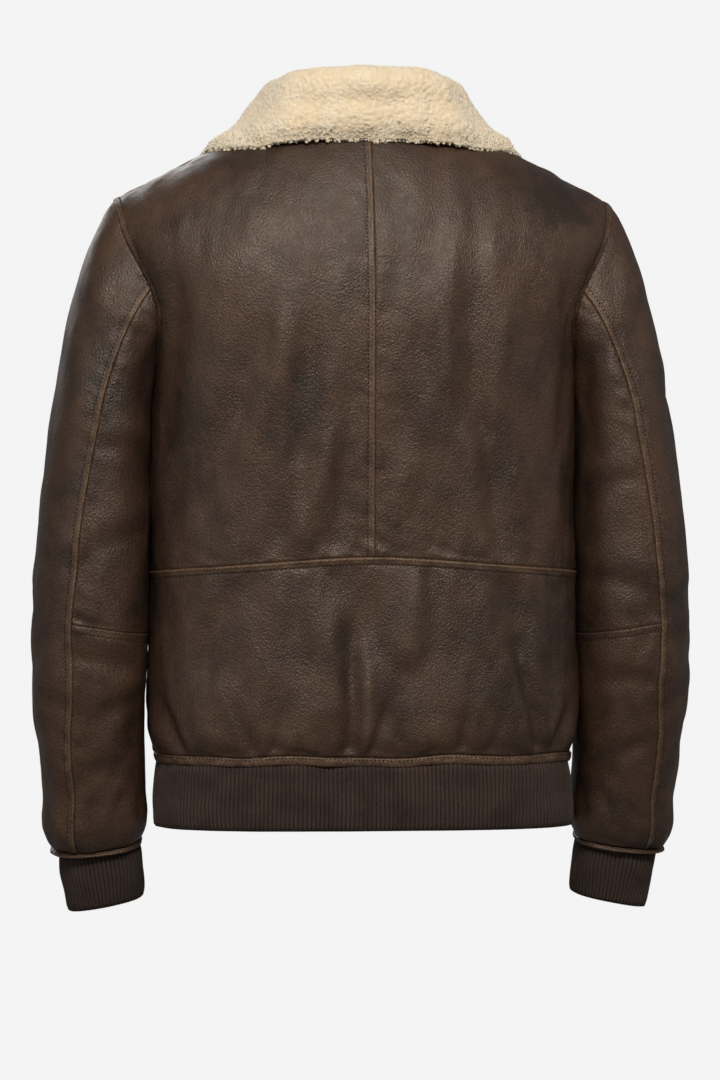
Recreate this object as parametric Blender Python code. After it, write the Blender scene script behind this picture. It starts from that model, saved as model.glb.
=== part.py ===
"""A bomber jacket of smooth brown leather: a fleece collar, two-piece sleeves and ribbed knit ends.

Metres, +Z up. The jacket hangs as it is worn: its back faces +Y, its front faces -Y, and the
wearer's left is +X. The origin is where the shoulders carry it, at the base of the neck.
Every panel is a wall of even thickness, cut from one shared surface, so its edges follow its
neighbour's. The right half mirrors the left one.
"""

from collections import namedtuple

import bmesh
import bpy
import numpy as np

NAME = "leather_bomber_jacket"

# Cloth and seams
LEATHER = 0.0025
FLEECE = 0.0100
FLEECE_EDGE = 0.0048
UNDER_COLLAR = 0.0018
COLLAR_CLEAR = 0.0022
SEAM_GAP = 0.0003
RIB_RELIEF = 0.0007

# Heights of the main lines, from the neck base
ARMPIT_Z = -0.235
SHOULDER_Z = -0.067
WAIST_Z = -0.389
WAIST_DROP = 0.013
STRIP_TOP_Z = -0.565
STRIP_BOTTOM_Z = -0.573
HEM_Z = -0.630
ELBOW_SEAM_Z = -0.4455
ELBOW_SEAM_DROP = 0.012

# Shoulders and neck
SHOULDER_X = 0.2257
NECK_X = 0.085
NECK_SIDE_Z = 0.005
NECK_BACK_Z = -0.0025
NECK_FRONT_Z = -0.078
RIDGE_HEIGHT = 0.0628
RIDGE_SLOPE = 0.556
RIDGE_ROUND = 0.060
BLADE_Z = -0.190
BACK_TURN = 2.2
FRONT_TURN = 1.9

# How square the torso and the sleeves are in plan: 2 is an ellipse
BACK_SQUARE = 3.2
FRONT_SQUARE = 2.6
SLEEVE_SQUARE = 2.5

# Zip
ZIP_EDGE_ANGLE = 2.8
CHAIN_HALF_WIDTH = 0.0029
TAPE_WIDTH = 0.0150
TAPE_THICK = 0.0009
SLIDER_Z = -0.096
PULL_LENGTH = 0.026

# Counts
HEM_RIBS = 186
CUFF_RIBS = 46
CAP_STEPS = 6
BACK_ROWS = 7
COLLAR_STEPS = 13

Torso = namedtuple("Torso", "z half_width back front")
TORSO = (
    Torso(-0.630, 0.1900, 0.1170, 0.1250),
    Torso(-0.600, 0.1872, 0.1168, 0.1248),
    Torso(-0.573, 0.1862, 0.1165, 0.1245),
    Torso(-0.565, 0.1872, 0.1180, 0.1260),
    Torso(-0.553, 0.1905, 0.1222, 0.1310),
    Torso(-0.530, 0.1928, 0.1242, 0.1335),
    Torso(-0.470, 0.1922, 0.1225, 0.1345),
    Torso(-0.400, 0.1908, 0.1195, 0.1345),
    Torso(-0.330, 0.1905, 0.1205, 0.1355),
    Torso(-0.235, 0.1900, 0.1250, 0.1370),
    Torso(-0.190, 0.1900, 0.1262, 0.1370),
    Torso(-0.067, 0.1900, 0.1225, 0.1340),
)

# The armhole's edge, and how far the panel's own curve would reach sideways past it
Armhole = namedtuple("Armhole", "z edge reach")
ARMHOLE = (
    Armhole(-0.235, 0.1900, 0.1900),
    Armhole(-0.200, 0.1878, 0.1903),
    Armhole(-0.177, 0.1868, 0.1931),
    Armhole(-0.160, 0.1900, 0.1985),
    Armhole(-0.140, 0.1985, 0.2080),
    Armhole(-0.120, 0.2090, 0.2190),
    Armhole(-0.100, 0.2180, 0.2300),
    Armhole(-0.067, 0.2257, 0.2420),
)

# Sleeve sections, from the cuff up: lean tips a section forward or inward, in degrees,
# and seam is where the back seam lies, counted from the outermost line round to the back
Sleeve = namedtuple("Sleeve", "z outer inner depth centre_y lean_front lean_in seam")
SLEEVE = (
    Sleeve(-0.6480, 0.2800, 0.1995, 0.0405, -0.0250, 9.5, 6.0, 64.0),
    Sleeve(-0.6370, 0.2868, 0.1950, 0.0465, -0.0225, 9.5, 6.0, 65.0),
    Sleeve(-0.5997, 0.2888, 0.1960, 0.0510, -0.0160, 9.0, 4.0, 68.0),
    Sleeve(-0.5442, 0.2962, 0.1975, 0.0560, -0.0050, 7.0, 2.0, 71.0),
    Sleeve(-0.5023, 0.2987, 0.1972, 0.0600, 0.0015, 5.0, 1.0, 75.0),
    Sleeve(-0.4460, 0.2988, 0.1960, 0.0640, 0.0055, 3.0, 0.0, 74.0),
    Sleeve(-0.4095, 0.2977, 0.1950, 0.0670, 0.0060, 1.5, 0.0, 77.0),
    Sleeve(-0.3531, 0.2930, 0.1940, 0.0700, 0.0040, 0.0, 0.0, 80.0),
    Sleeve(-0.3212, 0.2896, 0.1936, 0.0725, 0.0020, 0.0, 0.0, 83.0),
    Sleeve(-0.2700, 0.2830, 0.1935, 0.0750, 0.0000, 0.0, 0.0, 88.0),
)
FRONT_SEAM = 280.0
BICEP_Z = -0.2700
SLEEVE_END_Z = -0.6480
CUFF_STRIP_Z = -0.6530

Cuff = namedtuple("Cuff", "z outer inner depth centre_y lean_front lean_in")
CUFF = (
    Cuff(-0.7030, 0.2668, 0.1955, 0.0300, -0.0325, 6.0, 11.0),
    Cuff(-0.6533, 0.2745, 0.2010, 0.0360, -0.0258, 9.5, 6.0),
    Cuff(-0.6530, 0.2765, 0.2005, 0.0375, -0.0256, 9.5, 6.0),
    Cuff(-0.6480, 0.2785, 0.1990, 0.0395, -0.0252, 9.5, 6.0),
)

# Where a quarter of the armhole's height splits the sleeve's two pieces
BACK_SEAM_V = 0.506

# The collar's rows: where it folds and where its free edge lies, from centre back to front
Collar = namedtuple("Collar", "round fold_x fold_y fold_z edge_x edge_y edge_z")
COLLAR = (
    Collar(0.00, 0.000, 0.0770, 0.0395, 0.000, 0.0870, -0.0140),
    Collar(0.25, 0.061, 0.0590, 0.0385, 0.086, 0.0730, -0.0130),
    Collar(0.50, 0.088, 0.0000, 0.0300, 0.139, 0.0060, -0.0170),
    Collar(0.75, 0.074, -0.0790, -0.0100, 0.126, -0.0870, -0.0620),
    Collar(1.00, 0.014, -0.1190, -0.0590, 0.082, -0.1290, -0.1240),
)

# Large folds of the back, each a soft trough (depth below zero is a ridge):
# its line runs from (top_x, top_z) to (foot_x, foot_z)
Fold = namedtuple("Fold", "top_x top_z foot_x foot_z width depth")
BACK_FOLDS = (
    Fold(0.008, -0.405, 0.010, -0.560, 0.0110, 0.0050),
    Fold(-0.008, -0.470, -0.004, -0.560, 0.0100, -0.0035),
    Fold(-0.052, -0.410, -0.056, -0.545, 0.0120, -0.0030),
    Fold(-0.132, -0.410, -0.158, -0.560, 0.0100, 0.0045),
    Fold(0.105, -0.500, 0.088, -0.562, 0.0080, 0.0035),
    Fold(0.178, -0.505, 0.162, -0.562, 0.0080, 0.0040),
    Fold(-0.183, -0.500, -0.168, -0.562, 0.0080, 0.0040),
    Fold(-0.098, -0.520, -0.092, -0.562, 0.0070, 0.0030),
    Fold(0.060, -0.180, 0.074, -0.380, 0.0300, 0.0030),
    Fold(-0.085, -0.160, -0.094, -0.370, 0.0320, 0.0030),
    Fold(0.176, -0.125, 0.179, -0.300, 0.0075, 0.0035),
    Fold(-0.176, -0.125, -0.179, -0.300, 0.0075, 0.0035),
)
FOLD_END = 0.020

LEATHER_COLOUR = (0.055, 0.033, 0.022)
FLEECE_COLOUR = (0.76, 0.60, 0.38)
KNIT_COLOUR = (0.040, 0.024, 0.018)
TAPE_COLOUR = (0.030, 0.020, 0.016)
METAL_COLOUR = (0.24, 0.19, 0.13)


def column(table, name):
    """One named column of a table."""
    return np.array([getattr(row, name) for row in table], float)


def smooth(keys, values, at):
    """A smooth curve through a table's rows, flat past its ends."""
    at = np.clip(np.asarray(at, float), keys[0], keys[-1])
    slopes = np.gradient(values, keys)
    row = np.clip(np.searchsorted(keys, at) - 1, 0, len(keys) - 2)
    step = keys[row + 1] - keys[row]
    s = (at - keys[row]) / step
    start = (2 * s**3 - 3 * s**2 + 1) * values[row] + (s**3 - 2 * s**2 + s) * step * slopes[row]
    end = (3 * s**2 - 2 * s**3) * values[row + 1] + (s**3 - s**2) * step * slopes[row + 1]
    return start + end


def read(table, name, at, key="z"):
    """A table's named column, read smoothly at any key."""
    return smooth(column(table, key), column(table, name), at)


def ease(at, low, high):
    """0 below low, 1 above high, and smooth between."""
    s = np.clip((np.asarray(at, float) - low) / (high - low), 0.0, 1.0)
    return s * s * (3.0 - 2.0 * s)


def stack(x, y, z):
    """Three arrays as one array of points."""
    return np.stack(np.broadcast_arrays(x, y, z), axis=-1).astype(float)


def unit(vectors):
    """Vectors of length one."""
    length = np.linalg.norm(vectors, axis=-1, keepdims=True)
    return vectors / np.maximum(length, 1e-12)


def polar(angle, a, b, power):
    """A point of a rounded rectangle: angle 0 lies on the b axis and 90 degrees on the a axis."""
    sine = np.sin(np.radians(angle))
    cosine = np.cos(np.radians(angle))
    reach = (np.abs(sine / a) ** power + np.abs(cosine / b) ** power) ** (-1.0 / power)
    return reach * sine, reach * cosine


def ridge_z(x):
    """The height of the shoulder line above x."""
    return RIDGE_HEIGHT - RIDGE_SLOPE * np.sqrt(np.asarray(x) ** 2 + RIDGE_ROUND**2)


def yoke_depth(x, z, front):
    """How far the chest or the back stands from the shoulder line's plane, above the armpit."""
    power = FRONT_SQUARE if front else BACK_SQUARE
    turn = FRONT_TURN if front else BACK_TURN
    depth = read(TORSO, "front" if front else "back", z)
    reach = read(ARMHOLE, "reach", z)
    across = np.clip(1.0 - (np.abs(x) / reach) ** power, 0.0, 1.0) ** (1.0 / power)
    rise = np.clip((z - BLADE_Z) / (ridge_z(x) - BLADE_Z), 0.0, 1.0)
    return depth * across * np.clip(1.0 - rise**turn, 0.0, 1.0) ** (1.0 / turn)


def torso_ring(angle, z):
    """The torso below the armpits. Angle 0 is the centre back, 90 the side, 180 the front."""
    front = np.cos(np.radians(angle)) < 0.0
    half = read(TORSO, "half_width", z)
    x, y_back = polar(angle, half, read(TORSO, "back", z), BACK_SQUARE)
    x_front, y_front = polar(angle, half, read(TORSO, "front", z), FRONT_SQUARE)
    return stack(np.where(front, x_front, x), np.where(front, y_front, y_back), z)


def top_z(x, front):
    """The panels' top edge: the neckline, then the shoulder line."""
    inside = 1.0 - np.clip(x / NECK_X, 0.0, 1.0) ** 2
    centre = NECK_FRONT_Z if front else NECK_BACK_Z
    neckline = NECK_SIDE_Z + (centre - NECK_SIDE_Z) * inside
    return np.where(x < NECK_X, neckline, ridge_z(x))


def yoke(angle, v, front):
    """The torso above the armpits, for angles from the centre to the side: v runs 0 to 1 upwards."""
    centre = torso_ring(180.0 - ZIP_EDGE_ANGLE if front else 0.0, ARMPIT_Z)[..., 0]
    half = read(TORSO, "half_width", ARMPIT_Z)
    ring_angle = 180.0 - angle if front else angle
    on_ring = (torso_ring(ring_angle, ARMPIT_Z)[..., 0] - centre) / (half - centre)
    first = ZIP_EDGE_ANGLE if front else 0.0
    spread = (angle - first) / (90.0 - first)
    across = on_ring + (spread - on_ring) * ease(v, 0.0, 0.5)
    edge_z = ARMPIT_Z + (SHOULDER_Z - ARMPIT_Z) * v
    x = centre + across * (read(ARMHOLE, "edge", edge_z) - centre)
    x_top = centre + spread * (SHOULDER_X - centre)
    z = ARMPIT_Z + (top_z(x_top, front) - ARMPIT_Z) * v
    depth = yoke_depth(x, z, front)
    closed = (v >= 1.0) & (x_top >= NECK_X)
    depth = np.where(closed, 0.0, depth)
    return stack(x, -depth if front else depth, z)


def normals(surface, a, b, a_step, b_step, b_low, b_high, a_high):
    """Unit normals of surface(a, b) from its own slopes, away from the torso's middle."""
    a = np.minimum(a, a_high)
    b = np.clip(b, b_low, b_high)
    along_a = surface(a + a_step, b) - surface(a - a_step, b)
    along_b = surface(a, b + b_step) - surface(a, b - b_step)
    return unit(np.cross(along_a, along_b))


def outward(points, vectors, centre):
    """The vectors, turned to point away from the centre where they don't."""
    side = np.sum((points - centre) * vectors, axis=-1, keepdims=True)
    return np.where(side < 0.0, -vectors, vectors)


def torso_normals(angle, z, v, front):
    """Normals of the torso: below the armpits where v is 0, and of the yoke above."""
    ring_angle = 180.0 - angle if front else angle
    low = normals(torso_ring, ring_angle, z, 0.05, 0.0005, -1.0, ARMPIT_Z, 999.0)
    high = normals(lambda a, b: yoke(a, b, front), angle, v, 0.05, 0.001, 0.02, 0.992, 88.0)
    points = np.where((v > 0.0)[..., None], yoke(angle, v, front), torso_ring(ring_angle, z))
    centre = stack(0.0, 0.0, np.minimum(points[..., 2], -0.15))
    low = outward(points, low, centre)
    high = outward(points, high, centre)
    blend = ease(v, 0.0, 0.12)[..., None]
    found = unit(low * (1.0 - blend) + high * blend)
    seam = (angle >= 90.0) & (v <= 0.0) | (v >= 1.0) & (points[..., 0] >= NECK_X - 1e-6)
    flat = found * np.array([1.0, 0.0, 1.0])
    return np.where(seam[..., None], unit(flat), found)


def fold_depth(points):
    """How deep the back's folds are at each point."""
    depth = np.zeros(points.shape[:-1])
    for fold in BACK_FOLDS:
        along = (points[..., 2] - fold.top_z) / (fold.foot_z - fold.top_z)
        line_x = fold.top_x + (fold.foot_x - fold.top_x) * along
        across = np.exp(-(((points[..., 0] - line_x) / fold.width) ** 2))
        length = abs(fold.foot_z - fold.top_z)
        end = FOLD_END / length
        inside = ease(along, -end, 2.0 * end) * (1.0 - ease(along, 1.0 - end, 1.0 + 0.3 * end))
        depth += fold.depth * across * inside
    return np.where(points[..., 1] > 0.0, depth, 0.0)


def armhole_point(v, front):
    """The armhole's edge on the torso: v is 0 at the armpit and 1 at the shoulder."""
    return yoke(np.full_like(v, 90.0), v, front)


def armhole_v(c):
    """Where the sleeve's column c meets the armhole: c is 0 at the top and 2 at the armpit."""
    c = np.where(c > 2.0, 4.0 - c, c)
    return np.where(c <= 1.0, 1.0 - (1.0 - BACK_SEAM_V) * c**2, BACK_SEAM_V * (2.0 - c) ** 2)


def tube_ring(table, angle, z):
    """A point of a sleeve or cuff section. Angle 0 is outermost, 90 the back, 180 innermost."""
    outer = read(table, "outer", z)
    inner = read(table, "inner", z)
    side, back = polar(90.0 - angle, (outer - inner) / 2.0, read(table, "depth", z), SLEEVE_SQUARE)
    lean_in = np.radians(read(table, "lean_in", z))
    lean_front = np.radians(read(table, "lean_front", z))
    x = (outer + inner) / 2.0 + side * np.cos(lean_in)
    y = read(table, "centre_y", z) + back * np.cos(lean_front)
    return stack(x, y, z - side * np.sin(lean_in) - back * np.sin(lean_front))


def column_angle(c, z):
    """The angle at which the sleeve's column c runs at a height."""
    back = read(SLEEVE, "seam", z)
    corners = (np.zeros_like(back), back, np.full_like(back, 180.0), np.full_like(back, FRONT_SEAM),
               np.full_like(back, 360.0))
    piece = np.clip(np.floor(c).astype(int), 0, 3)
    low = np.choose(piece, corners[:4])
    high = np.choose(piece, corners[1:])
    return low + (high - low) * (c - piece)


def sleeve(c, t):
    """The sleeve: t is -1 at the armhole, 0 at the biceps and 1 at the sleeve's end."""
    c, t = np.broadcast_arrays(np.asarray(c, float), np.asarray(t, float))
    z = BICEP_Z + (SLEEVE_END_Z - BICEP_Z) * np.clip(t, 0.0, 1.0)
    ring = tube_ring(SLEEVE, column_angle(c, z), z)
    v = armhole_v(c)
    front = (c > 2.0)[..., None]
    start = np.where(front, armhole_point(v, True), armhole_point(v, False))
    reach = np.linalg.norm(ring - start, axis=-1, keepdims=True)
    out = 0.62 * ease(v, 0.0, 0.5)
    turn = 0.15 * np.sin(np.radians(column_angle(c, z)))
    aim = stack(out, turn, -np.sqrt(1.0 - out**2 - turn**2))
    s = np.clip(t + 1.0, 0.0, 1.0)[..., None]
    first = start + 0.24 * reach * aim
    last = ring + 0.355 * reach * np.array([-0.14, 0.0, 0.99]) * ease(v, 0.0, 0.5)[..., None]
    last = last + 0.355 * reach * np.array([0.0, 0.0, 1.0]) * (1.0 - ease(v, 0.0, 0.5))[..., None]
    cap = (1 - s) ** 3 * start + 3 * s * (1 - s) ** 2 * first + 3 * s**2 * (1 - s) * last + s**3 * ring
    return np.where((t < 0.0)[..., None], cap, ring)


def sleeve_axis(points):
    """The middle of the sleeve nearest to each point."""
    z = np.clip(points[..., 2], SLEEVE_END_Z, BICEP_Z)
    middle = (read(SLEEVE, "outer", z) + read(SLEEVE, "inner", z)) / 2.0
    lift = np.clip(points[..., 2], None, -0.15)
    return stack(middle - 0.3 * (lift - z), read(SLEEVE, "centre_y", z), lift)


def sleeve_normals(c, t):
    """Normals of the sleeve; on the armhole they are shared with the torso."""
    wrapped = lambda a, b: sleeve(np.mod(a, 4.0), b)
    points = sleeve(c, t)
    found = normals(wrapped, c, t, 0.002, 0.002, -0.995, 0.995, 99.0)
    found = outward(points, found, sleeve_axis(points))
    v = armhole_v(c)
    ninety = np.full_like(v, 90.0)
    depth = np.full_like(v, ARMPIT_Z)
    torso = np.where((c > 2.0)[..., None], torso_normals(ninety, depth, v, True),
                     torso_normals(ninety, depth, v, False))
    return np.where((t <= -1.0)[..., None], unit(found + torso), found)


def material(name, colour, roughness, metallic=0.0):
    """A plain Principled material."""
    made = bpy.data.materials.new(name)
    made.use_nodes = True
    shader = made.node_tree.nodes["Principled BSDF"]
    shader.inputs["Base Color"].default_value = (*colour, 1.0)
    shader.inputs["Roughness"].default_value = roughness
    shader.inputs["Metallic"].default_value = metallic
    return made


def add_object(name, bm, made):
    """Puts a finished mesh in the jacket's collection."""
    bmesh.ops.recalc_face_normals(bm, faces=bm.faces)
    mesh = bpy.data.meshes.new(name)
    bm.to_mesh(mesh)
    bm.free()
    mesh.materials.append(made)
    mesh.shade_smooth()
    mesh.set_sharp_from_angle(angle=np.radians(40.0))
    thing = bpy.data.objects.new(name, mesh)
    bpy.data.collections[NAME].objects.link(thing)
    return thing


def seam_edges(grid, low_row=True, high_row=True, low_column=True, high_column=True):
    """Moves the chosen borders of a grid half a seam gap towards its middle."""
    grid = grid.copy()
    half = SEAM_GAP / 2.0
    if low_row:
        grid[0] += half * unit(grid[1] - grid[0])
    if high_row:
        grid[-1] += half * unit(grid[-2] - grid[-1])
    if low_column:
        grid[:, 0] += half * unit(grid[:, 1] - grid[:, 0])
    if high_column:
        grid[:, -1] += half * unit(grid[:, -2] - grid[:, -1])
    return grid


def wall(name, outer, inner, made, closed=False):
    """A wall between two grids. The grids have as many columns; closed joins their ends."""
    bm = bmesh.new()
    outer_points = [[bm.verts.new(point) for point in row] for row in outer]
    inner_points = [[bm.verts.new(point) for point in row] for row in inner]
    columns = len(outer[0])
    spans = range(columns) if closed else range(columns - 1)
    for points in (outer_points, inner_points):
        for low, high in zip(points, points[1:]):
            for i in spans:
                j = (i + 1) % columns
                bm.faces.new((low[i], low[j], high[j]))
                bm.faces.new((low[i], high[j], high[i]))
    for one, other in ((outer_points[0], inner_points[0]), (outer_points[-1], inner_points[-1])):
        for i in spans:
            j = (i + 1) % columns
            bm.faces.new((one[i], one[j], other[j], other[i]))
    if not closed:
        for side in (0, -1):
            one = [row[side] for row in outer_points]
            other = [row[side] for row in inner_points]
            for i in range(len(one) - 1):
                bm.faces.new((one[i], one[i + 1], other[i + 1], other[i]))
    return add_object(name, bm, made)


def mirrored(grid, side):
    """The grid on the wearer's left (side 1) or right (side -1)."""
    return grid * np.array([side, 1.0, 1.0])


def both_sides(name, outer, inner, made):
    """The same wall on the left and on the right."""
    for side, word in ((1, "left"), (-1, "right")):
        wall(f"{name}_{word}", mirrored(outer, side), mirrored(inner, side), made)


def waist_z(angle):
    """The back's waist seam, which rises towards the centre."""
    return WAIST_Z - WAIST_DROP * np.sin(np.radians(angle)) ** 2


def torso_columns(first):
    """The panels' column angles, with one where the neckline meets the shoulder line."""
    corner = first + (90.0 - first) * (NECK_X - centre_x(first)) / (SHOULDER_X - centre_x(first))
    inner = np.linspace(first, corner, 5)
    outer = 90.0 - (90.0 - corner) * np.linspace(1.0, 0.0, 9) ** 1.35
    return np.concatenate([inner, outer[1:]])


def centre_x(first):
    """How far the panel's first column stands from the middle."""
    return float(torso_ring(180.0 - first, ARMPIT_Z)[..., 0]) if first else 0.0


def yoke_steps():
    """The rows above the armpits, where the sleeve's columns meet the armhole."""
    return np.unique(np.round(armhole_v(np.linspace(0.0, 2.0, 2 * CAP_STEPS + 1)), 6))


def front_steps():
    """The front's rows below the armpits, as fractions; closer together above the hem."""
    return np.linspace(0.0, 1.0, 11) ** 1.5


def torso_panel(angles, low_z, fractions, front):
    """A panel's outer points and normals from low_z(angle) up to its top edge."""
    v_list = yoke_steps()
    angle, step = np.meshgrid(angles, np.concatenate([fractions, v_list[1:] + 1.0]))
    v = np.clip(step - 1.0, 0.0, 1.0)
    low = low_z(angle)
    z = low + (ARMPIT_Z - low) * np.clip(step, 0.0, 1.0)
    ring_angle = 180.0 - angle if front else angle
    points = np.where((v > 0.0)[..., None], yoke(angle, v, front), torso_ring(ring_angle, z))
    found = torso_normals(angle, z, v, front)
    c = armhole_columns(v[:, -1], front)
    edge = v[:, -1] > 0.0
    shared = sleeve_normals(c, np.full_like(c, -1.0))
    found[edge, -1] = shared[edge]
    return points, found


def armhole_columns(v, front):
    """The sleeve column that meets the armhole at v."""
    upper = np.sqrt(np.clip((1.0 - v) / (1.0 - BACK_SEAM_V), 0.0, 1.0))
    lower = 2.0 - np.sqrt(np.clip(v / BACK_SEAM_V, 0.0, 1.0))
    c = np.where(v >= BACK_SEAM_V, upper, lower)
    return 4.0 - c if front else c


def make_back(made):
    """Two upper back panels that meet on the centre seam, and one panel below the waist seam."""
    angles = torso_columns(0.0)
    points, found = torso_panel(angles, waist_z, np.linspace(0.0, 1.0, BACK_ROWS), False)
    for side, word in ((1, "left"), (-1, "right")):
        placed = mirrored(points, side)
        facing = mirrored(found, side)
        outer = placed - facing * fold_depth(placed)[..., None]
        inner = seam_edges(outer - facing * LEATHER)
        wall(f"back_{word}", seam_edges(outer), inner, made)
    angle, step = np.meshgrid(np.linspace(-90.0, 90.0, 35), np.linspace(0.0, 1.0, 8))
    z = STRIP_TOP_Z + (waist_z(angle) - STRIP_TOP_Z) * step
    points = torso_ring(np.abs(angle), z) * np.where(angle < 0.0, -1.0, 1.0)[..., None]
    points[..., 1:] = torso_ring(np.abs(angle), z)[..., 1:]
    found = torso_normals(np.abs(angle), z, np.zeros_like(z), False)
    found[..., 0] *= np.where(angle < 0.0, -1.0, 1.0)
    outer = points - found * fold_depth(points)[..., None]
    wall("back_waist", seam_edges(outer), seam_edges(outer - found * LEATHER), made)


def make_front(made):
    """Two front panels, from the hem strip to the neckline, with the zip between them."""
    angles = torso_columns(ZIP_EDGE_ANGLE)
    points, found = torso_panel(angles, lambda angle: np.full_like(angle, STRIP_TOP_Z), front_steps(), True)
    both_sides("front", seam_edges(points), seam_edges(points - found * LEATHER), made)


def open_ring(columns, z):
    """A belt of points round the torso, from one side of the zip round the back to the other."""
    angle, height = np.meshgrid(np.linspace(180.0 - ZIP_EDGE_ANGLE, ZIP_EDGE_ANGLE - 180.0, columns), z)
    return belt(angle, height)


def belt(angle, z):
    """Points and normals round the torso; angles below zero are on the wearer's right."""
    sign = np.where(angle < 0.0, -1.0, 1.0)
    points = torso_ring(np.abs(angle), z)
    points[..., 0] *= sign
    ahead = torso_ring(np.abs(angle) + 0.05, z)
    behind = torso_ring(np.abs(angle) - 0.05, z)
    along = ahead - behind
    along[..., 0] *= sign
    found = unit(np.cross(along, np.array([0.0, 0.0, 1.0])))
    return points, outward(points, found, stack(0.0, 0.0, z))


def even_angles(ring, count, ends):
    """Angles at equal distances round a ring."""
    fine = np.linspace(*ends, 2001)
    steps = np.linalg.norm(np.diff(ring(fine), axis=0), axis=-1)
    walked = np.concatenate([[0.0], np.cumsum(steps)])
    return np.interp(np.linspace(0.0, walked[-1], count), walked, fine)


def make_hem(leather, knit):
    """A leather strip and a ribbed knit band, both open at the zip."""
    points, found = open_ring(57, np.array([STRIP_BOTTOM_Z, STRIP_TOP_Z]))
    outer = points + found * LEATHER * 0.3
    wall("hem_strip", seam_edges(outer), seam_edges(points - found * LEATHER), leather)
    ends = (180.0 - ZIP_EDGE_ANGLE, ZIP_EDGE_ANGLE - 180.0)
    angles = even_angles(lambda angle: belt(angle, HEM_Z + 0.0 * angle)[0], 2 * HEM_RIBS + 1, ends)
    angle, z = np.meshgrid(angles, np.array([HEM_Z, STRIP_BOTTOM_Z]))
    points, found = belt(angle, z)
    valley = np.where(np.arange(len(angles)) % 2 == 1, RIB_RELIEF, 0.0)
    outer = points - found * valley[None, :, None]
    wall("hem_rib", seam_edges(outer, low_row=False), seam_edges(points - found * LEATHER), knit)


def make_sleeve(leather):
    """Top sleeve and a two-piece under sleeve, cut at the elbow."""
    cap = -np.linspace(1.0, 0.0, 6) ** 1.2
    corner = float(elbow_t(1.0))
    lower_rows = np.linspace(0.0, 1.0, 6)
    upper_rows = np.concatenate([cap, lower_rows[1:]])
    t_list = np.concatenate([cap, corner * lower_rows[1:], corner + (1.0 - corner) * lower_rows[1:]])
    steps = np.linspace(0.0, 1.0, CAP_STEPS + 1)
    top = np.concatenate([3.0 + steps, 4.0 + steps[1:]])
    c, t = np.meshgrid(np.mod(top, 4.0), t_list)
    points = sleeve(c, t)
    found = sleeve_normals(c, t)
    both_sides("sleeve_top", seam_edges(points), seam_edges(points - found * LEATHER), leather)
    under = np.concatenate([1.0 + steps, 2.0 + steps[1:]])
    elbow = elbow_t(under)
    for name, rows, low, high in (("upper", upper_rows, -1.0, elbow), ("lower", lower_rows, elbow, 1.0)):
        c, step = np.meshgrid(under, rows)
        if name == "upper":
            t = np.where(step < 0.0, step, step * high)
        else:
            t = low + (high - low) * step
        points = sleeve(c, t)
        found = sleeve_normals(c, t)
        both_sides(f"sleeve_under_{name}", seam_edges(points), seam_edges(points - found * LEATHER), leather)


def elbow_t(c):
    """Where the elbow seam crosses each under-sleeve column: it drops towards the body."""
    fall = np.sin(np.clip(c - 1.0, 0.0, 2.0) * np.pi / 2.0)
    return (ELBOW_SEAM_Z - ELBOW_SEAM_DROP * fall - BICEP_Z) / (SLEEVE_END_Z - BICEP_Z)


def make_cuff(leather, knit):
    """A narrow leather strip and a ribbed knit cuff on each sleeve."""
    ring = lambda angle, z: tube_ring(CUFF, angle, z)
    angle, z = np.meshgrid(np.arange(0.0, 360.0, 15.0), np.array([CUFF_STRIP_Z, SLEEVE_END_Z]))
    points = ring(angle, z)
    middle = points.mean(axis=1, keepdims=True)
    out = unit(points - middle)
    closed = {"low_column": False, "high_column": False}
    for side, word in ((1, "left"), (-1, "right")):
        outer = seam_edges(points, **closed)
        inner = seam_edges(points - out * LEATHER, **closed)
        wall(f"cuff_strip_{word}", mirrored(outer, side), mirrored(inner, side), leather, True)
    low_z = CUFF[0].z
    angles = even_angles(lambda a: ring(a, low_z + 0.0 * a), 2 * CUFF_RIBS + 1, (0.0, 360.0))[:-1]
    angle, z = np.meshgrid(angles, np.array([low_z, CUFF_STRIP_Z - SEAM_GAP]))
    points = ring(angle, z)
    out = unit(points - points.mean(axis=1, keepdims=True))
    valley = np.where(np.arange(len(angles)) % 2 == 1, RIB_RELIEF, 0.0)
    for side, word in ((1, "left"), (-1, "right")):
        outer = mirrored(points - out * valley[None, :, None], side)
        wall(f"cuff_rib_{word}", outer, mirrored(points - out * LEATHER, side), knit, True)


def neckline(turn):
    """The neck seam from the centre back (0) over the shoulder (0.5) to the zip (1)."""
    turn = np.asarray(turn, float)
    first = torso_ring(180.0 - ZIP_EDGE_ANGLE, ARMPIT_Z)[..., 0]
    back = NECK_X * np.sin(np.clip(turn, 0.0, 0.5) * np.pi)
    ahead = first + (NECK_X - first) * np.sin(np.clip(1.0 - turn, 0.0, 0.5) * np.pi)
    x = np.where(turn <= 0.5, back, ahead)
    front = turn > 0.5
    z = np.where(front, top_z(x * (1.0 - 1e-9), True), top_z(x * (1.0 - 1e-9), False))
    depth = np.where(front, -yoke_depth(x, z, True), yoke_depth(x, z, False))
    return stack(x, np.where(np.abs(turn - 0.5) < 1e-9, 0.0, depth), z)


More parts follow.
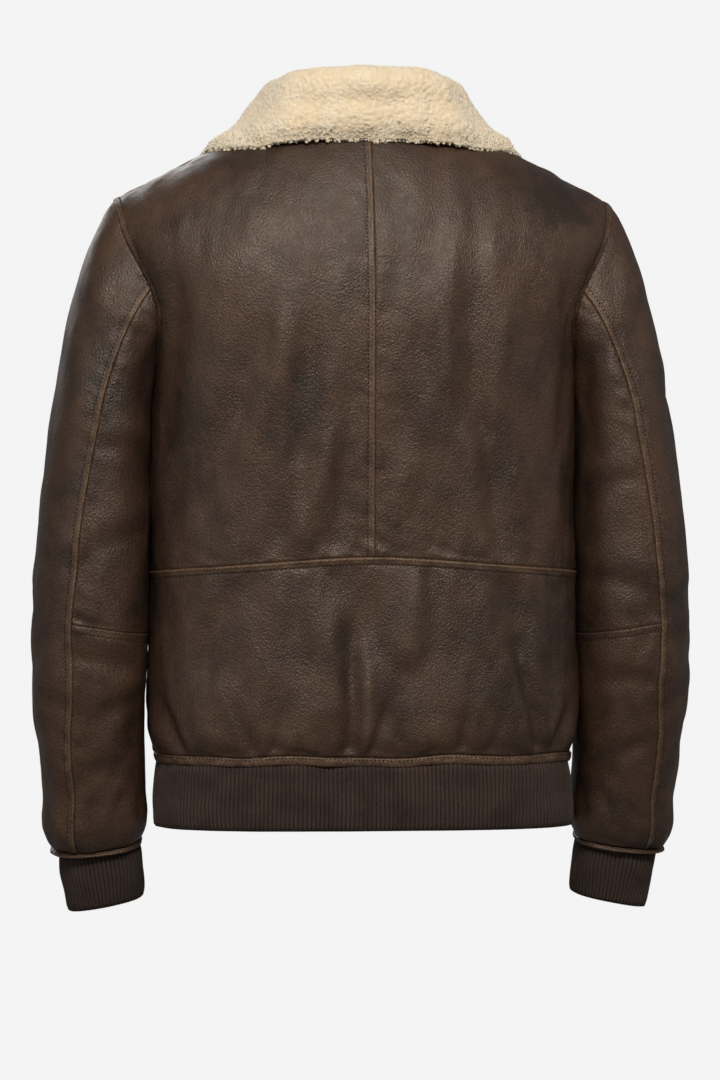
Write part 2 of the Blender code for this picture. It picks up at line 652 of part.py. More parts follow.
def outside(points):
    """How far points lie outside the shoulders, chest and upper back; below zero is inside."""
    def shape(at):
        x, y, z = at[..., 0], at[..., 1], at[..., 2]
        value = 0.0
        for front in (True, False):
            power = FRONT_SQUARE if front else BACK_SQUARE
            turn = FRONT_TURN if front else BACK_TURN
            depth = read(TORSO, "front" if front else "back", z)
            reach = read(ARMHOLE, "reach", z)
            broad = depth * np.clip(1.0 - (np.abs(x) / reach) ** power, 0.02, 1.0) ** (1.0 / power)
            rise = np.clip((z - BLADE_Z) / (ridge_z(x) - BLADE_Z), 0.0, None)
            level = (np.abs(y) / broad) ** turn + rise**turn - 1.0
            value = value + np.where((y < 0.0) == front, level, 0.0)
        return value

    step = 1e-4
    slope = np.stack([(shape(points + step * axis) - shape(points - step * axis)) / (2.0 * step)
                      for axis in np.eye(3)], axis=-1)
    steep = np.linalg.norm(slope, axis=-1)
    return shape(points) / np.maximum(steep, 1e-6), slope / np.maximum(steep, 1e-6)[..., None]


def laid_over(points, clearance):
    """Points moved out until they clear the shoulders."""
    for _ in range(6):
        distance, way = outside(points)
        points = points + way * np.clip(clearance - distance, 0.0, None)[..., None]
    return points


def collar_skin(turn, w):
    """The collar's skin line: w is 0 on the neck seam, about 0.45 at the fold and 1 at the edge."""
    fold = stack(*(read(COLLAR, name, turn, "round") for name in ("fold_x", "fold_y", "fold_z")))
    edge = stack(*(read(COLLAR, name, turn, "round") for name in ("edge_x", "edge_y", "edge_z")))
    seam = neckline(turn)
    up = np.array([0.0, 0.0, 1.0])
    out = unit((edge - fold) * np.array([1.0, 1.0, 0.0]))
    guides = (seam + up * 0.0012, seam + (fold - seam) * 0.55 - out * 0.001,
              fold - out * 0.0040 - up * 0.0050, fold + out * 0.0010,
              fold + out * 0.0080 - up * 0.0050, fold + (edge - fold) * 0.55 + up * 0.004, edge)
    keys = np.array([0.0, 0.22, 0.40, 0.48, 0.57, 0.78, 1.0])
    values = np.stack(guides)
    row = np.clip(np.searchsorted(keys, w) - 1, 0, len(keys) - 2)
    slopes = np.gradient(values, keys, axis=0)
    step = (keys[row + 1] - keys[row])[..., None]
    s = (w[..., None] - keys[row][..., None]) / step
    take = lambda grid, which: np.take_along_axis(grid, which[None, ..., None], axis=0)[0]
    start = (2 * s**3 - 3 * s**2 + 1) * take(values, row)
    start = start + (s**3 - 2 * s**2 + s) * step * take(slopes, row)
    end = (3 * s**2 - 2 * s**3) * take(values, row + 1) + (s**3 - s**2) * step * take(slopes, row + 1)
    skin = start + end
    clear = (UNDER_COLLAR + COLLAR_CLEAR) * ease(w, 0.5, 0.62)
    return np.where((w > 0.5)[..., None], laid_over(skin, clear), skin)


def make_collar(fleece, leather):
    """A folded collar: fleece on the side that shows, leather under it."""
    half = np.linspace(0.0, 1.0, COLLAR_STEPS)
    w_list = np.array([0.0, 0.12, 0.26, 0.38, 0.44, 0.50, 0.56, 0.66, 0.78, 0.90, 1.0])
    turn, w = np.meshgrid(half, w_list)
    skin = collar_skin(turn, w)
    step = 0.004
    along = collar_skin(np.clip(turn + step, 0, 1), w) - collar_skin(np.clip(turn - step, 0, 1), w)
    across = collar_skin(turn, np.clip(w + step, 0, 1)) - collar_skin(turn, np.clip(w - step, 0, 1))
    along[:, 0, 1:] = 0.0
    face = unit(np.cross(along, across))
    face = np.where(face[5:6, :, 2:3] < 0.0, -face, face)
    full = [mirrored(grid[:, :0:-1], -1) for grid in (skin, face)]
    skin = np.concatenate([full[0], skin], axis=1)
    face = np.concatenate([full[1], face], axis=1)
    pile = FLEECE * (0.22 + 0.78 * ease(w_list, 0.0, 0.30)) * (1.0 - 0.40 * ease(w_list, 0.85, 1.0))
    outer = skin + face * pile[:, None, None]
    outer[-1] += unit(skin[-1] - skin[-2]) * FLEECE_EDGE
    base = skin + face * SEAM_GAP
    base[-1] += unit(skin[-1] - skin[-2]) * FLEECE_EDGE * 0.5
    wall("collar_fleece", outer, base, fleece)
    top = skin - face * SEAM_GAP * 2.0
    wall("under_collar", top, skin - face * UNDER_COLLAR, leather)


def chest_line(x, z):
    """Points and normals of the front's outer face at x and z, near the zip."""
    def depth(at_x, at_z):
        half = read(TORSO, "half_width", at_z)
        low = -read(TORSO, "front", at_z) * (1.0 - np.abs(at_x / half) ** FRONT_SQUARE) ** (1 / FRONT_SQUARE)
        return np.where(at_z > ARMPIT_Z, -yoke_depth(at_x, at_z, True), low)

    step = 1e-4
    slope_x = (depth(x + step, z) - depth(x - step, z)) / (2.0 * step)
    slope_z = (depth(x, z + step) - depth(x, z - step)) / (2.0 * step)
    return stack(x, depth(x, z), z), unit(stack(slope_x, -1.0, slope_z))


def make_zip(tape, metal):
    """Two tapes under the front edges, the closed chain, a slider and its pull."""
    top = NECK_FRONT_Z - 0.004
    low = STRIP_TOP_Z + (ARMPIT_Z - STRIP_TOP_Z) * front_steps()
    high = ARMPIT_Z + (top - ARMPIT_Z) * yoke_steps()[1:]
    rows = np.concatenate([np.array([HEM_Z, STRIP_BOTTOM_Z]), low, high])
    inner_face = LEATHER + 2.0 * SEAM_GAP
    edge = CHAIN_HALF_WIDTH + SEAM_GAP
    x, z = np.meshgrid(np.array([edge, edge + TAPE_WIDTH]), rows)
    points, found = chest_line(x, z)
    both_sides("zip_tape", points - found * inner_face, points - found * (inner_face + TAPE_THICK), tape)
    x, z = np.meshgrid(np.array([-CHAIN_HALF_WIDTH, 0.0, CHAIN_HALF_WIDTH]), rows)
    points, found = chest_line(x, z)
    wall("zip_chain", points - found * 0.0012, points - found * (inner_face + TAPE_THICK), metal)
    hinge, slider_face, tilt = slider_place()
    make_slider(slider_face, tilt, metal)
    make_pull(hinge, tilt, metal)


def slider_place():
    """The pull's hinge, the slider's base on the chain, and the chest's slope there."""
    point, way = chest_line(np.array(0.0), np.array(SLIDER_Z))
    tilt = float(np.arctan2(-way[2], -way[1]))
    return point + way * 0.0035, point - way * 0.0012, tilt


def bar(name, size, centre, bevel, made):
    """A box with rounded edges."""
    bm = bmesh.new()
    bmesh.ops.create_cube(bm, size=1.0)
    bmesh.ops.scale(bm, verts=bm.verts, vec=size)
    bmesh.ops.translate(bm, verts=bm.verts, vec=centre)
    bmesh.ops.bevel(bm, geom=bm.edges, offset=bevel, segments=1, affect="EDGES", profile=0.5)
    return add_object(name, bm, made)


def combine(thing, others, operation):
    """Applies a Boolean with each of the others, which are then removed."""
    for other in others:
        cut = thing.modifiers.new(other.name, "BOOLEAN")
        cut.operation = operation
        cut.object = other
        bpy.context.view_layer.update()
        depsgraph = bpy.context.evaluated_depsgraph_get()
        mesh = bpy.data.meshes.new_from_object(thing.evaluated_get(depsgraph))
        thing.modifiers.clear()
        thing.data = mesh
        bpy.data.objects.remove(other)


def place(thing, point, tilt):
    """Stands a piece made at the origin on the chest's slope."""
    thing.location = [float(value) for value in point]
    thing.rotation_euler = (tilt, 0.0, 0.0)


def make_slider(point, tilt, made):
    """The slider, with the bridge that holds the pull."""
    slider = bar("zip_slider", (0.0088, 0.0022, 0.0110), (0.0, -0.0014, 0.0), 0.0004, made)
    bridge = bar("bridge", (0.0020, 0.0010, 0.0076), (0.0, -0.0061, 0.0), 0.0002, made)
    legs = [bar(f"leg_{z}", (0.0020, 0.0042, 0.0012), (0.0, -0.0044, z), 0.0002, made)
            for z in (-0.0032, 0.0032)]
    combine(slider, [bridge] + legs, "UNION")
    place(slider, point, tilt)


def make_pull(hinge, tilt, made):
    """The pull tab: an eye whose top bar lies under the bridge, and a long plate."""
    pull = bar("zip_pull", (0.0064, 0.0011, PULL_LENGTH), (0.0, 0.0, 0.0006 - PULL_LENGTH / 2.0), 0.0003, made)
    eye = bar("eye", (0.0034, 0.0060, 0.0046), (0.0, 0.0, -0.0029), 0.0003, made)
    combine(pull, [eye], "DIFFERENCE")
    place(pull, hinge, tilt)


def main():
    """Builds the jacket."""
    for thing in list(bpy.data.objects):
        bpy.data.objects.remove(thing)
    bpy.context.scene.collection.children.link(bpy.data.collections.new(NAME))
    leather = material("leather", LEATHER_COLOUR, 0.45)
    fleece = material("fleece", FLEECE_COLOUR, 0.95)
    knit = material("knit", KNIT_COLOUR, 0.90)
    tape = material("tape", TAPE_COLOUR, 0.80)
    metal = material("metal", METAL_COLOUR, 0.35, 1.0)
    make_back(leather)
    make_front(leather)
    make_hem(leather, knit)
    make_sleeve(leather)
    make_cuff(leather, knit)
    make_collar(fleece, leather)
    make_zip(tape, metal)


main()
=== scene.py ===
"""The looks of a leather bomber jacket with a fleece collar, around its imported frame.

Metres, +Z up: the back faces +Y, and the wearer's left is +X. Every cloth piece is a thin shell
on the surface of its solid, with its folds, seams and stitches in real sizes.
"""

from collections import namedtuple

import bpy
import numpy as np
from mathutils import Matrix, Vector, noise


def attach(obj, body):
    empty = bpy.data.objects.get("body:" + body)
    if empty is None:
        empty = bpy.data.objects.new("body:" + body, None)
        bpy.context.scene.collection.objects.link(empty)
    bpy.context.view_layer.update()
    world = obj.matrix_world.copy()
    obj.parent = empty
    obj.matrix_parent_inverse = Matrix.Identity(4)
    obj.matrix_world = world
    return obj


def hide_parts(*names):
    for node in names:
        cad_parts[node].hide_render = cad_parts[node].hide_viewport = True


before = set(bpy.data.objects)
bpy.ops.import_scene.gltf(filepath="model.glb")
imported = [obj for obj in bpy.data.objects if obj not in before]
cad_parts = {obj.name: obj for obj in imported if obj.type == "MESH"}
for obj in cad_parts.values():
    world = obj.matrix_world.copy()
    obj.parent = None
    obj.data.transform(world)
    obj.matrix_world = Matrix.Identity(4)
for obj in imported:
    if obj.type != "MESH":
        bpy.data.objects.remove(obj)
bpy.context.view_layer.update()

# Cloth and seams
LEATHER = 0.0025
FLEECE = 0.0100
FLEECE_EDGE = 0.0048
UNDER_COLLAR = 0.0018
COLLAR_CLEAR = 0.0022
SEAM_GAP = 0.0003

# Heights of the main lines, from the neck base
ARMPIT_Z = -0.235
SHOULDER_Z = -0.067
WAIST_Z = -0.389
WAIST_DROP = 0.013
STRIP_TOP_Z = -0.565
STRIP_BOTTOM_Z = -0.573
HEM_Z = -0.630
ELBOW_SEAM_Z = -0.4455
ELBOW_SEAM_DROP = 0.012

# Shoulders and neck
SHOULDER_X = 0.2257
NECK_X = 0.085
NECK_SIDE_Z = 0.005
NECK_BACK_Z = -0.0025
NECK_FRONT_Z = -0.078
RIDGE_HEIGHT = 0.0628
RIDGE_SLOPE = 0.556
RIDGE_ROUND = 0.060
BLADE_Z = -0.190
BACK_TURN = 2.2
FRONT_TURN = 1.9

# How square the torso and the sleeves are in plan: 2 is an ellipse
BACK_SQUARE = 3.2
FRONT_SQUARE = 2.6
SLEEVE_SQUARE = 2.5

# Zip
ZIP_EDGE_ANGLE = 2.8
CHAIN_HALF_WIDTH = 0.0029
TAPE_WIDTH = 0.0150
TAPE_EDGE = 0.0004
TAPE_THICK = 0.0009

# Counts
HEM_RIBS = 272
CUFF_RIBS = 66

# The two sides of the garment, the wearer's own
SIDE_WORDS = ((1, "left"), (-1, "right"))

UP = np.array([0.0, 0.0, 1.0])
LEVEL = np.array([1.0, 1.0, 0.0])


def metres(kind, rows, as_written=()):
    """A table that is written in millimetres, in metres but for the columns that stay as written."""
    scale = [1.0 if name in as_written else 1000.0 for name in kind._fields]
    return tuple(kind(*(value / unit_size for value, unit_size in zip(row, scale))) for row in rows)


# The tables that follow are in millimetres, and in degrees where they turn or lean
Torso = namedtuple("Torso", "z half_width back front")
TORSO = metres(Torso, (
    (-630, 190, 117, 125),
    (-600, 187.2, 116.8, 124.8),
    (-573, 186.2, 116.5, 124.5),
    (-565, 187.2, 118, 126),
    (-553, 190.5, 122.2, 131),
    (-530, 192.8, 124.2, 133.5),
    (-470, 192.2, 122.5, 134.5),
    (-400, 190.8, 119.5, 134.5),
    (-330, 190.5, 120.5, 135.5),
    (-235, 190, 125, 137),
    (-190, 190, 126.2, 137),
    (-67, 190, 122.5, 134),
))

# The armhole's edge, and how far the panel's own curve would reach sideways past it
Armhole = namedtuple("Armhole", "z edge reach")
ARMHOLE = metres(Armhole, (
    (-235, 190, 190),
    (-200, 187.8, 190.3),
    (-177, 186.8, 193.1),
    (-160, 190, 198.5),
    (-140, 198.5, 208),
    (-120, 209, 219),
    (-100, 218, 230),
    (-67, 225.7, 242),
))

# Sleeve sections, from the cuff up: lean tips a section forward or inward, in degrees,
# and seam is where the back seam lies, counted from the outermost line round to the back
Sleeve = namedtuple("Sleeve", "z outer inner depth centre_y lean_front lean_in seam")
SLEEVE = metres(Sleeve, (
    (-648, 280, 199.5, 40.5, -25, 9.5, 6, 64),
    (-637, 286.8, 195, 46.5, -22.5, 9.5, 6, 65),
    (-599.7, 288.8, 196, 51, -16, 9, 4, 68),
    (-544.2, 296.2, 197.5, 56, -5, 7, 2, 71),
    (-502.3, 298.7, 197.2, 60, 1.5, 5, 1, 75),
    (-446, 298.8, 196, 64, 5.5, 3, 0, 74),
    (-409.5, 297.7, 195, 67, 6, 1.5, 0, 77),
    (-353.1, 293, 194, 70, 4, 0, 0, 80),
    (-321.2, 289.6, 193.6, 72.5, 2, 0, 0, 83),
    (-270, 283, 193.5, 75, 0, 0, 0, 88),
), ("lean_front", "lean_in", "seam"))
FRONT_SEAM = 280.0
BICEP_Z = -0.2700
SLEEVE_END_Z = -0.6480
CUFF_STRIP_Z = -0.6530

Cuff = namedtuple("Cuff", "z outer inner depth centre_y lean_front lean_in")
CUFF = metres(Cuff, (
    (-703, 266.8, 195.5, 30, -32.5, 6, 11),
    (-653.3, 274.5, 201, 36, -25.8, 9.5, 6),
    (-653, 276.5, 200.5, 37.5, -25.6, 9.5, 6),
    (-648, 278.5, 199, 39.5, -25.2, 9.5, 6),
), ("lean_front", "lean_in"))

# How far up the armhole the sleeve's back seam meets it
BACK_SEAM_V = 0.506

# The collar's rows: where it folds and where its free edge lies, from centre back to front
Collar = namedtuple("Collar", "round fold_x fold_y fold_z edge_x edge_y edge_z")
COLLAR = metres(Collar, (
    (0, 0, 77, 39.5, 0, 87, -14),
    (0.25, 61, 59, 38.5, 86, 73, -13),
    (0.5, 88, 0, 30, 139, 6, -17),
    (0.75, 74, -79, -10, 126, -87, -62),
    (1, 14, -119, -59, 82, -129, -124),
), ("round",))


def column(table, name):
    """One named column of a table."""
    return np.array([getattr(row, name) for row in table], float)


def hermite(s, step, low, high, low_slope, high_slope):
    """A curve from low at s = 0 to high at s = 1, with the slopes given at both ends."""
    start = (2 * s**3 - 3 * s**2 + 1) * low + (s**3 - 2 * s**2 + s) * step * low_slope
    end = (3 * s**2 - 2 * s**3) * high + (s**3 - s**2) * step * high_slope
    return start + end


def smooth(keys, values, at):
    """A smooth curve through a table's rows, flat past its ends."""
    at = np.clip(np.asarray(at, float), keys[0], keys[-1])
    slopes = np.gradient(values, keys)
    row = np.clip(np.searchsorted(keys, at) - 1, 0, len(keys) - 2)
    step = keys[row + 1] - keys[row]
    s = (at - keys[row]) / step
    return hermite(s, step, values[row], values[row + 1], slopes[row], slopes[row + 1])


def read(table, name, at, key="z"):
    """A table's named column, read smoothly at any key."""
    return smooth(column(table, key), column(table, name), at)


def ease(at, low, high):
    """0 below low, 1 above high, and smooth between."""
    s = np.clip((np.asarray(at, float) - low) / (high - low), 0.0, 1.0)
    return s * s * (3.0 - 2.0 * s)


def stack(x, y, z):
    """Three arrays as one array of points."""
    return np.stack(np.broadcast_arrays(x, y, z), axis=-1).astype(float)


def unit(vectors):
    """Vectors of length one."""
    length = np.linalg.norm(vectors, axis=-1, keepdims=True)
    return vectors / np.maximum(length, 1e-12)


def polar(angle, a, b, power):
    """A point of a rounded rectangle: angle 0 lies on the b axis and 90 degrees on the a axis."""
    sine = np.sin(np.radians(angle))
    cosine = np.cos(np.radians(angle))
    reach = (np.abs(sine / a) ** power + np.abs(cosine / b) ** power) ** (-1.0 / power)
    return reach * sine, reach * cosine


def ridge_z(x):
    """The height of the shoulder line above x."""
    return RIDGE_HEIGHT - RIDGE_SLOPE * np.sqrt(np.asarray(x) ** 2 + RIDGE_ROUND**2)


def yoke_depth(x, z, front):
    """How far the chest or the back stands from the shoulder line's plane, above the armpit."""
    power = FRONT_SQUARE if front else BACK_SQUARE
    turn = FRONT_TURN if front else BACK_TURN
    depth = read(TORSO, "front" if front else "back", z)
    reach = read(ARMHOLE, "reach", z)
    across = np.clip(1.0 - (np.abs(x) / reach) ** power, 0.0, 1.0) ** (1.0 / power)
    rise = np.clip((z - BLADE_Z) / (ridge_z(x) - BLADE_Z), 0.0, 1.0)
    return depth * across * np.clip(1.0 - rise**turn, 0.0, 1.0) ** (1.0 / turn)


def torso_ring(angle, z):
    """The torso below the armpits. Angle 0 is the centre back, 90 the side, 180 the front."""
    front = np.cos(np.radians(angle)) < 0.0
    half = read(TORSO, "half_width", z)
    x, y_back = polar(angle, half, read(TORSO, "back", z), BACK_SQUARE)
    x_front, y_front = polar(angle, half, read(TORSO, "front", z), FRONT_SQUARE)
    return stack(np.where(front, x_front, x), np.where(front, y_front, y_back), z)


def top_z(x, front):
    """The panels' top edge: the neckline, then the shoulder line."""
    inside = 1.0 - np.clip(x / NECK_X, 0.0, 1.0) ** 2
    centre = NECK_FRONT_Z if front else NECK_BACK_Z
    neckline = NECK_SIDE_Z + (centre - NECK_SIDE_Z) * inside
    return np.where(x < NECK_X, neckline, ridge_z(x))


def yoke(angle, v, front):
    """The torso above the armpits, for angles from the centre to the side: v runs 0 to 1 upwards."""
    centre = torso_ring(180.0 - ZIP_EDGE_ANGLE if front else 0.0, ARMPIT_Z)[..., 0]
    half = read(TORSO, "half_width", ARMPIT_Z)
    ring_angle = 180.0 - angle if front else angle
    on_ring = (torso_ring(ring_angle, ARMPIT_Z)[..., 0] - centre) / (half - centre)
    first = ZIP_EDGE_ANGLE if front else 0.0
    spread = (angle - first) / (90.0 - first)
    across = on_ring + (spread - on_ring) * ease(v, 0.0, 0.5)
    edge_z = ARMPIT_Z + (SHOULDER_Z - ARMPIT_Z) * v
    x = centre + across * (read(ARMHOLE, "edge", edge_z) - centre)
    x_top = centre + spread * (SHOULDER_X - centre)
    z = ARMPIT_Z + (top_z(x_top, front) - ARMPIT_Z) * v
    depth = yoke_depth(x, z, front)
    closed = (v >= 1.0) & (x_top >= NECK_X)
    depth = np.where(closed, 0.0, depth)
    return stack(x, -depth if front else depth, z)


def normals(surface, a, b, a_step, b_step, b_low, b_high, a_high):
    """Unit normals of surface(a, b) from its own slopes, away from the torso's middle."""
    a = np.minimum(a, a_high)
    b = np.clip(b, b_low, b_high)
    along_a = surface(a + a_step, b) - surface(a - a_step, b)
    along_b = surface(a, b + b_step) - surface(a, b - b_step)
    return unit(np.cross(along_a, along_b))


def outward(points, vectors, centre):
    """The vectors, turned to point away from the centre where they don't."""
    side = np.sum((points - centre) * vectors, axis=-1, keepdims=True)
    return np.where(side < 0.0, -vectors, vectors)


def torso_normals(angle, z, v, front):
    """Normals of the torso: below the armpits where v is 0, and of the yoke above."""
    ring_angle = 180.0 - angle if front else angle
    low = normals(torso_ring, ring_angle, z, 0.05, 0.0005, -1.0, ARMPIT_Z, 999.0)
    high = normals(lambda a, b: yoke(a, b, front), angle, v, 0.05, 0.001, 0.02, 0.992, 88.0)
    points = np.where((v > 0.0)[..., None], yoke(angle, v, front), torso_ring(ring_angle, z))
    centre = stack(0.0, 0.0, np.minimum(points[..., 2], -0.15))
    low = outward(points, low, centre)
    high = outward(points, high, centre)
    blend = ease(v, 0.0, 0.12)[..., None]
    found = unit(low * (1.0 - blend) + high * blend)
    seam = (angle >= 90.0) & (v <= 0.0) | (v >= 1.0) & (points[..., 0] >= NECK_X - 1e-6)
    flat = found * np.array([1.0, 0.0, 1.0])
    return np.where(seam[..., None], unit(flat), found)


def armhole_point(v, front):
    """The armhole's edge on the torso: v is 0 at the armpit and 1 at the shoulder."""
    return yoke(np.full_like(v, 90.0), v, front)


def armhole_v(c):
    """Where the sleeve's column c meets the armhole: c is 0 at the top and 2 at the armpit."""
    c = np.where(c > 2.0, 4.0 - c, c)
    return np.where(c <= 1.0, 1.0 - (1.0 - BACK_SEAM_V) * c**2, BACK_SEAM_V * (2.0 - c) ** 2)


def tube_ring(table, angle, z):
    """A point of a sleeve or cuff section. Angle 0 is outermost, 90 the back, 180 innermost."""
    outer = read(table, "outer", z)
    inner = read(table, "inner", z)
    side, back = polar(90.0 - angle, (outer - inner) / 2.0, read(table, "depth", z), SLEEVE_SQUARE)
    lean_in = np.radians(read(table, "lean_in", z))
    lean_front = np.radians(read(table, "lean_front", z))
    x = (outer + inner) / 2.0 + side * np.cos(lean_in)
    y = read(table, "centre_y", z) + back * np.cos(lean_front)
    return stack(x, y, z - side * np.sin(lean_in) - back * np.sin(lean_front))


def column_angle(c, z):
    """The angle at which the sleeve's column c runs at a height."""
    back = read(SLEEVE, "seam", z)
    corners = (np.zeros_like(back), back, np.full_like(back, 180.0), np.full_like(back, FRONT_SEAM),
               np.full_like(back, 360.0))
    piece = np.clip(np.floor(c).astype(int), 0, 3)
    low = np.choose(piece, corners[:4])
    high = np.choose(piece, corners[1:])
    return low + (high - low) * (c - piece)


def sleeve(c, t):
    """The sleeve: t is -1 at the armhole, 0 at the biceps and 1 at the sleeve's end."""
    c, t = np.broadcast_arrays(np.asarray(c, float), np.asarray(t, float))
    z = BICEP_Z + (SLEEVE_END_Z - BICEP_Z) * np.clip(t, 0.0, 1.0)
    ring = tube_ring(SLEEVE, column_angle(c, z), z)
    v = armhole_v(c)
    front = (c > 2.0)[..., None]
    start = np.where(front, armhole_point(v, True), armhole_point(v, False))
    reach = np.linalg.norm(ring - start, axis=-1, keepdims=True)
    out = 0.62 * ease(v, 0.0, 0.5)
    turn = 0.15 * np.sin(np.radians(column_angle(c, z)))
    aim = stack(out, turn, -np.sqrt(1.0 - out**2 - turn**2))
    s = np.clip(t + 1.0, 0.0, 1.0)[..., None]
    first = start + 0.24 * reach * aim
    last = ring + 0.355 * reach * np.array([-0.14, 0.0, 0.99]) * ease(v, 0.0, 0.5)[..., None]
    last = last + 0.355 * reach * UP * (1.0 - ease(v, 0.0, 0.5))[..., None]
    cap = (1 - s) ** 3 * start + 3 * s * (1 - s) ** 2 * first + 3 * s**2 * (1 - s) * last + s**3 * ring
    return np.where((t < 0.0)[..., None], cap, ring)


def sleeve_axis(points):
    """The middle of the sleeve nearest to each point."""
    z = np.clip(points[..., 2], SLEEVE_END_Z, BICEP_Z)
    middle = (read(SLEEVE, "outer", z) + read(SLEEVE, "inner", z)) / 2.0
    lift = np.clip(points[..., 2], None, -0.15)
    return stack(middle - 0.3 * (lift - z), read(SLEEVE, "centre_y", z), lift)


def sleeve_normals(c, t):
    """Normals of the sleeve; on the armhole they are shared with the torso."""
    wrapped = lambda a, b: sleeve(np.mod(a, 4.0), b)
    points = sleeve(c, t)
    found = normals(wrapped, c, t, 0.002, 0.002, -0.995, 0.995, 99.0)
    found = outward(points, found, sleeve_axis(points))
    v = armhole_v(c)
    ninety = np.full_like(v, 90.0)
    depth = np.full_like(v, ARMPIT_Z)
    torso = np.where((c > 2.0)[..., None], torso_normals(ninety, depth, v, True),
                     torso_normals(ninety, depth, v, False))
    return np.where((t <= -1.0)[..., None], unit(found + torso), found)


def waist_z(angle):
    """The back's waist seam, which rises towards the centre."""
    return WAIST_Z - WAIST_DROP * np.sin(np.radians(angle)) ** 2


def elbow_t(c):
    """Where the elbow seam crosses each under-sleeve column: it drops towards the body."""
    fall = np.sin(np.clip(c - 1.0, 0.0, 2.0) * np.pi / 2.0)
    return (ELBOW_SEAM_Z - ELBOW_SEAM_DROP * fall - BICEP_Z) / (SLEEVE_END_Z - BICEP_Z)


def armhole_columns(v, front):
    """The sleeve column that meets the armhole at v."""
    upper = np.sqrt(np.clip((1.0 - v) / (1.0 - BACK_SEAM_V), 0.0, 1.0))
    lower = 2.0 - np.sqrt(np.clip(v / BACK_SEAM_V, 0.0, 1.0))
    c = np.where(v >= BACK_SEAM_V, upper, lower)
    return 4.0 - c if front else c


def belt(angle, z):
    """Points and normals round the torso; angles below zero are on the wearer's right."""
    sign = np.where(angle < 0.0, -1.0, 1.0)
    points = torso_ring(np.abs(angle), z)
    points[..., 0] *= sign
    near = np.maximum(np.abs(angle), 0.06)
    ahead = torso_ring(near + 0.05, z)
    behind = torso_ring(near - 0.05, z)
    along = ahead - behind
    along[..., 0] *= sign
    found = unit(np.cross(along, UP))
    return points, outward(points, found, stack(0.0, 0.0, z))


def walk_round(ring, first, last):
    """Close angles round a ring, and how far along it each one lies."""
    fine = np.linspace(first, last, 2001)
    steps = np.linalg.norm(np.diff(ring(fine), axis=0), axis=-1)
    return fine, np.concatenate([[0.0], np.cumsum(steps)])


def even_angles(ring, count, ends):
    """Angles at equal distances round a ring."""
    fine, along = walk_round(ring, *ends)
    return np.interp(np.linspace(0.0, along[-1], count), along, fine)


def neckline(turn):
    """The neck seam from the centre back (0) over the shoulder (0.5) to the zip (1)."""
    turn = np.asarray(turn, float)
    first = torso_ring(180.0 - ZIP_EDGE_ANGLE, ARMPIT_Z)[..., 0]
    back = NECK_X * np.sin(np.clip(turn, 0.0, 0.5) * np.pi)
    ahead = first + (NECK_X - first) * np.sin(np.clip(1.0 - turn, 0.0, 0.5) * np.pi)
    x = np.where(turn <= 0.5, back, ahead)
    front = turn > 0.5
    z = np.where(front, top_z(x * (1.0 - 1e-9), True), top_z(x * (1.0 - 1e-9), False))
    depth = np.where(front, -yoke_depth(x, z, True), yoke_depth(x, z, False))
    return stack(x, np.where(np.abs(turn - 0.5) < 1e-9, 0.0, depth), z)


def outside(points):
    """How far points lie outside the shoulders, chest and upper back; below zero is inside."""
    def shape(at):
        x, y, z = at[..., 0], at[..., 1], at[..., 2]
        value = 0.0
        for front in (True, False):
            power = FRONT_SQUARE if front else BACK_SQUARE
            turn = FRONT_TURN if front else BACK_TURN
            depth = read(TORSO, "front" if front else "back", z)
            reach = read(ARMHOLE, "reach", z)
            broad = depth * np.clip(1.0 - (np.abs(x) / reach) ** power, 0.02, 1.0) ** (1.0 / power)
            rise = np.clip((z - BLADE_Z) / (ridge_z(x) - BLADE_Z), 0.0, None)
            level = (np.abs(y) / broad) ** turn + rise**turn - 1.0
            value = value + np.where((y < 0.0) == front, level, 0.0)
        return value

    step = 1e-4
    slope = np.stack([(shape(points + step * axis) - shape(points - step * axis)) / (2.0 * step)
                      for axis in np.eye(3)], axis=-1)
    steep = np.linalg.norm(slope, axis=-1)
    return shape(points) / np.maximum(steep, 1e-6), slope / np.maximum(steep, 1e-6)[..., None]


def laid_over(points, clearance):
    """Points moved out until they clear the shoulders."""
    for _ in range(6):
        distance, way = outside(points)
        points = points + way * np.clip(clearance - distance, 0.0, None)[..., None]
    return points


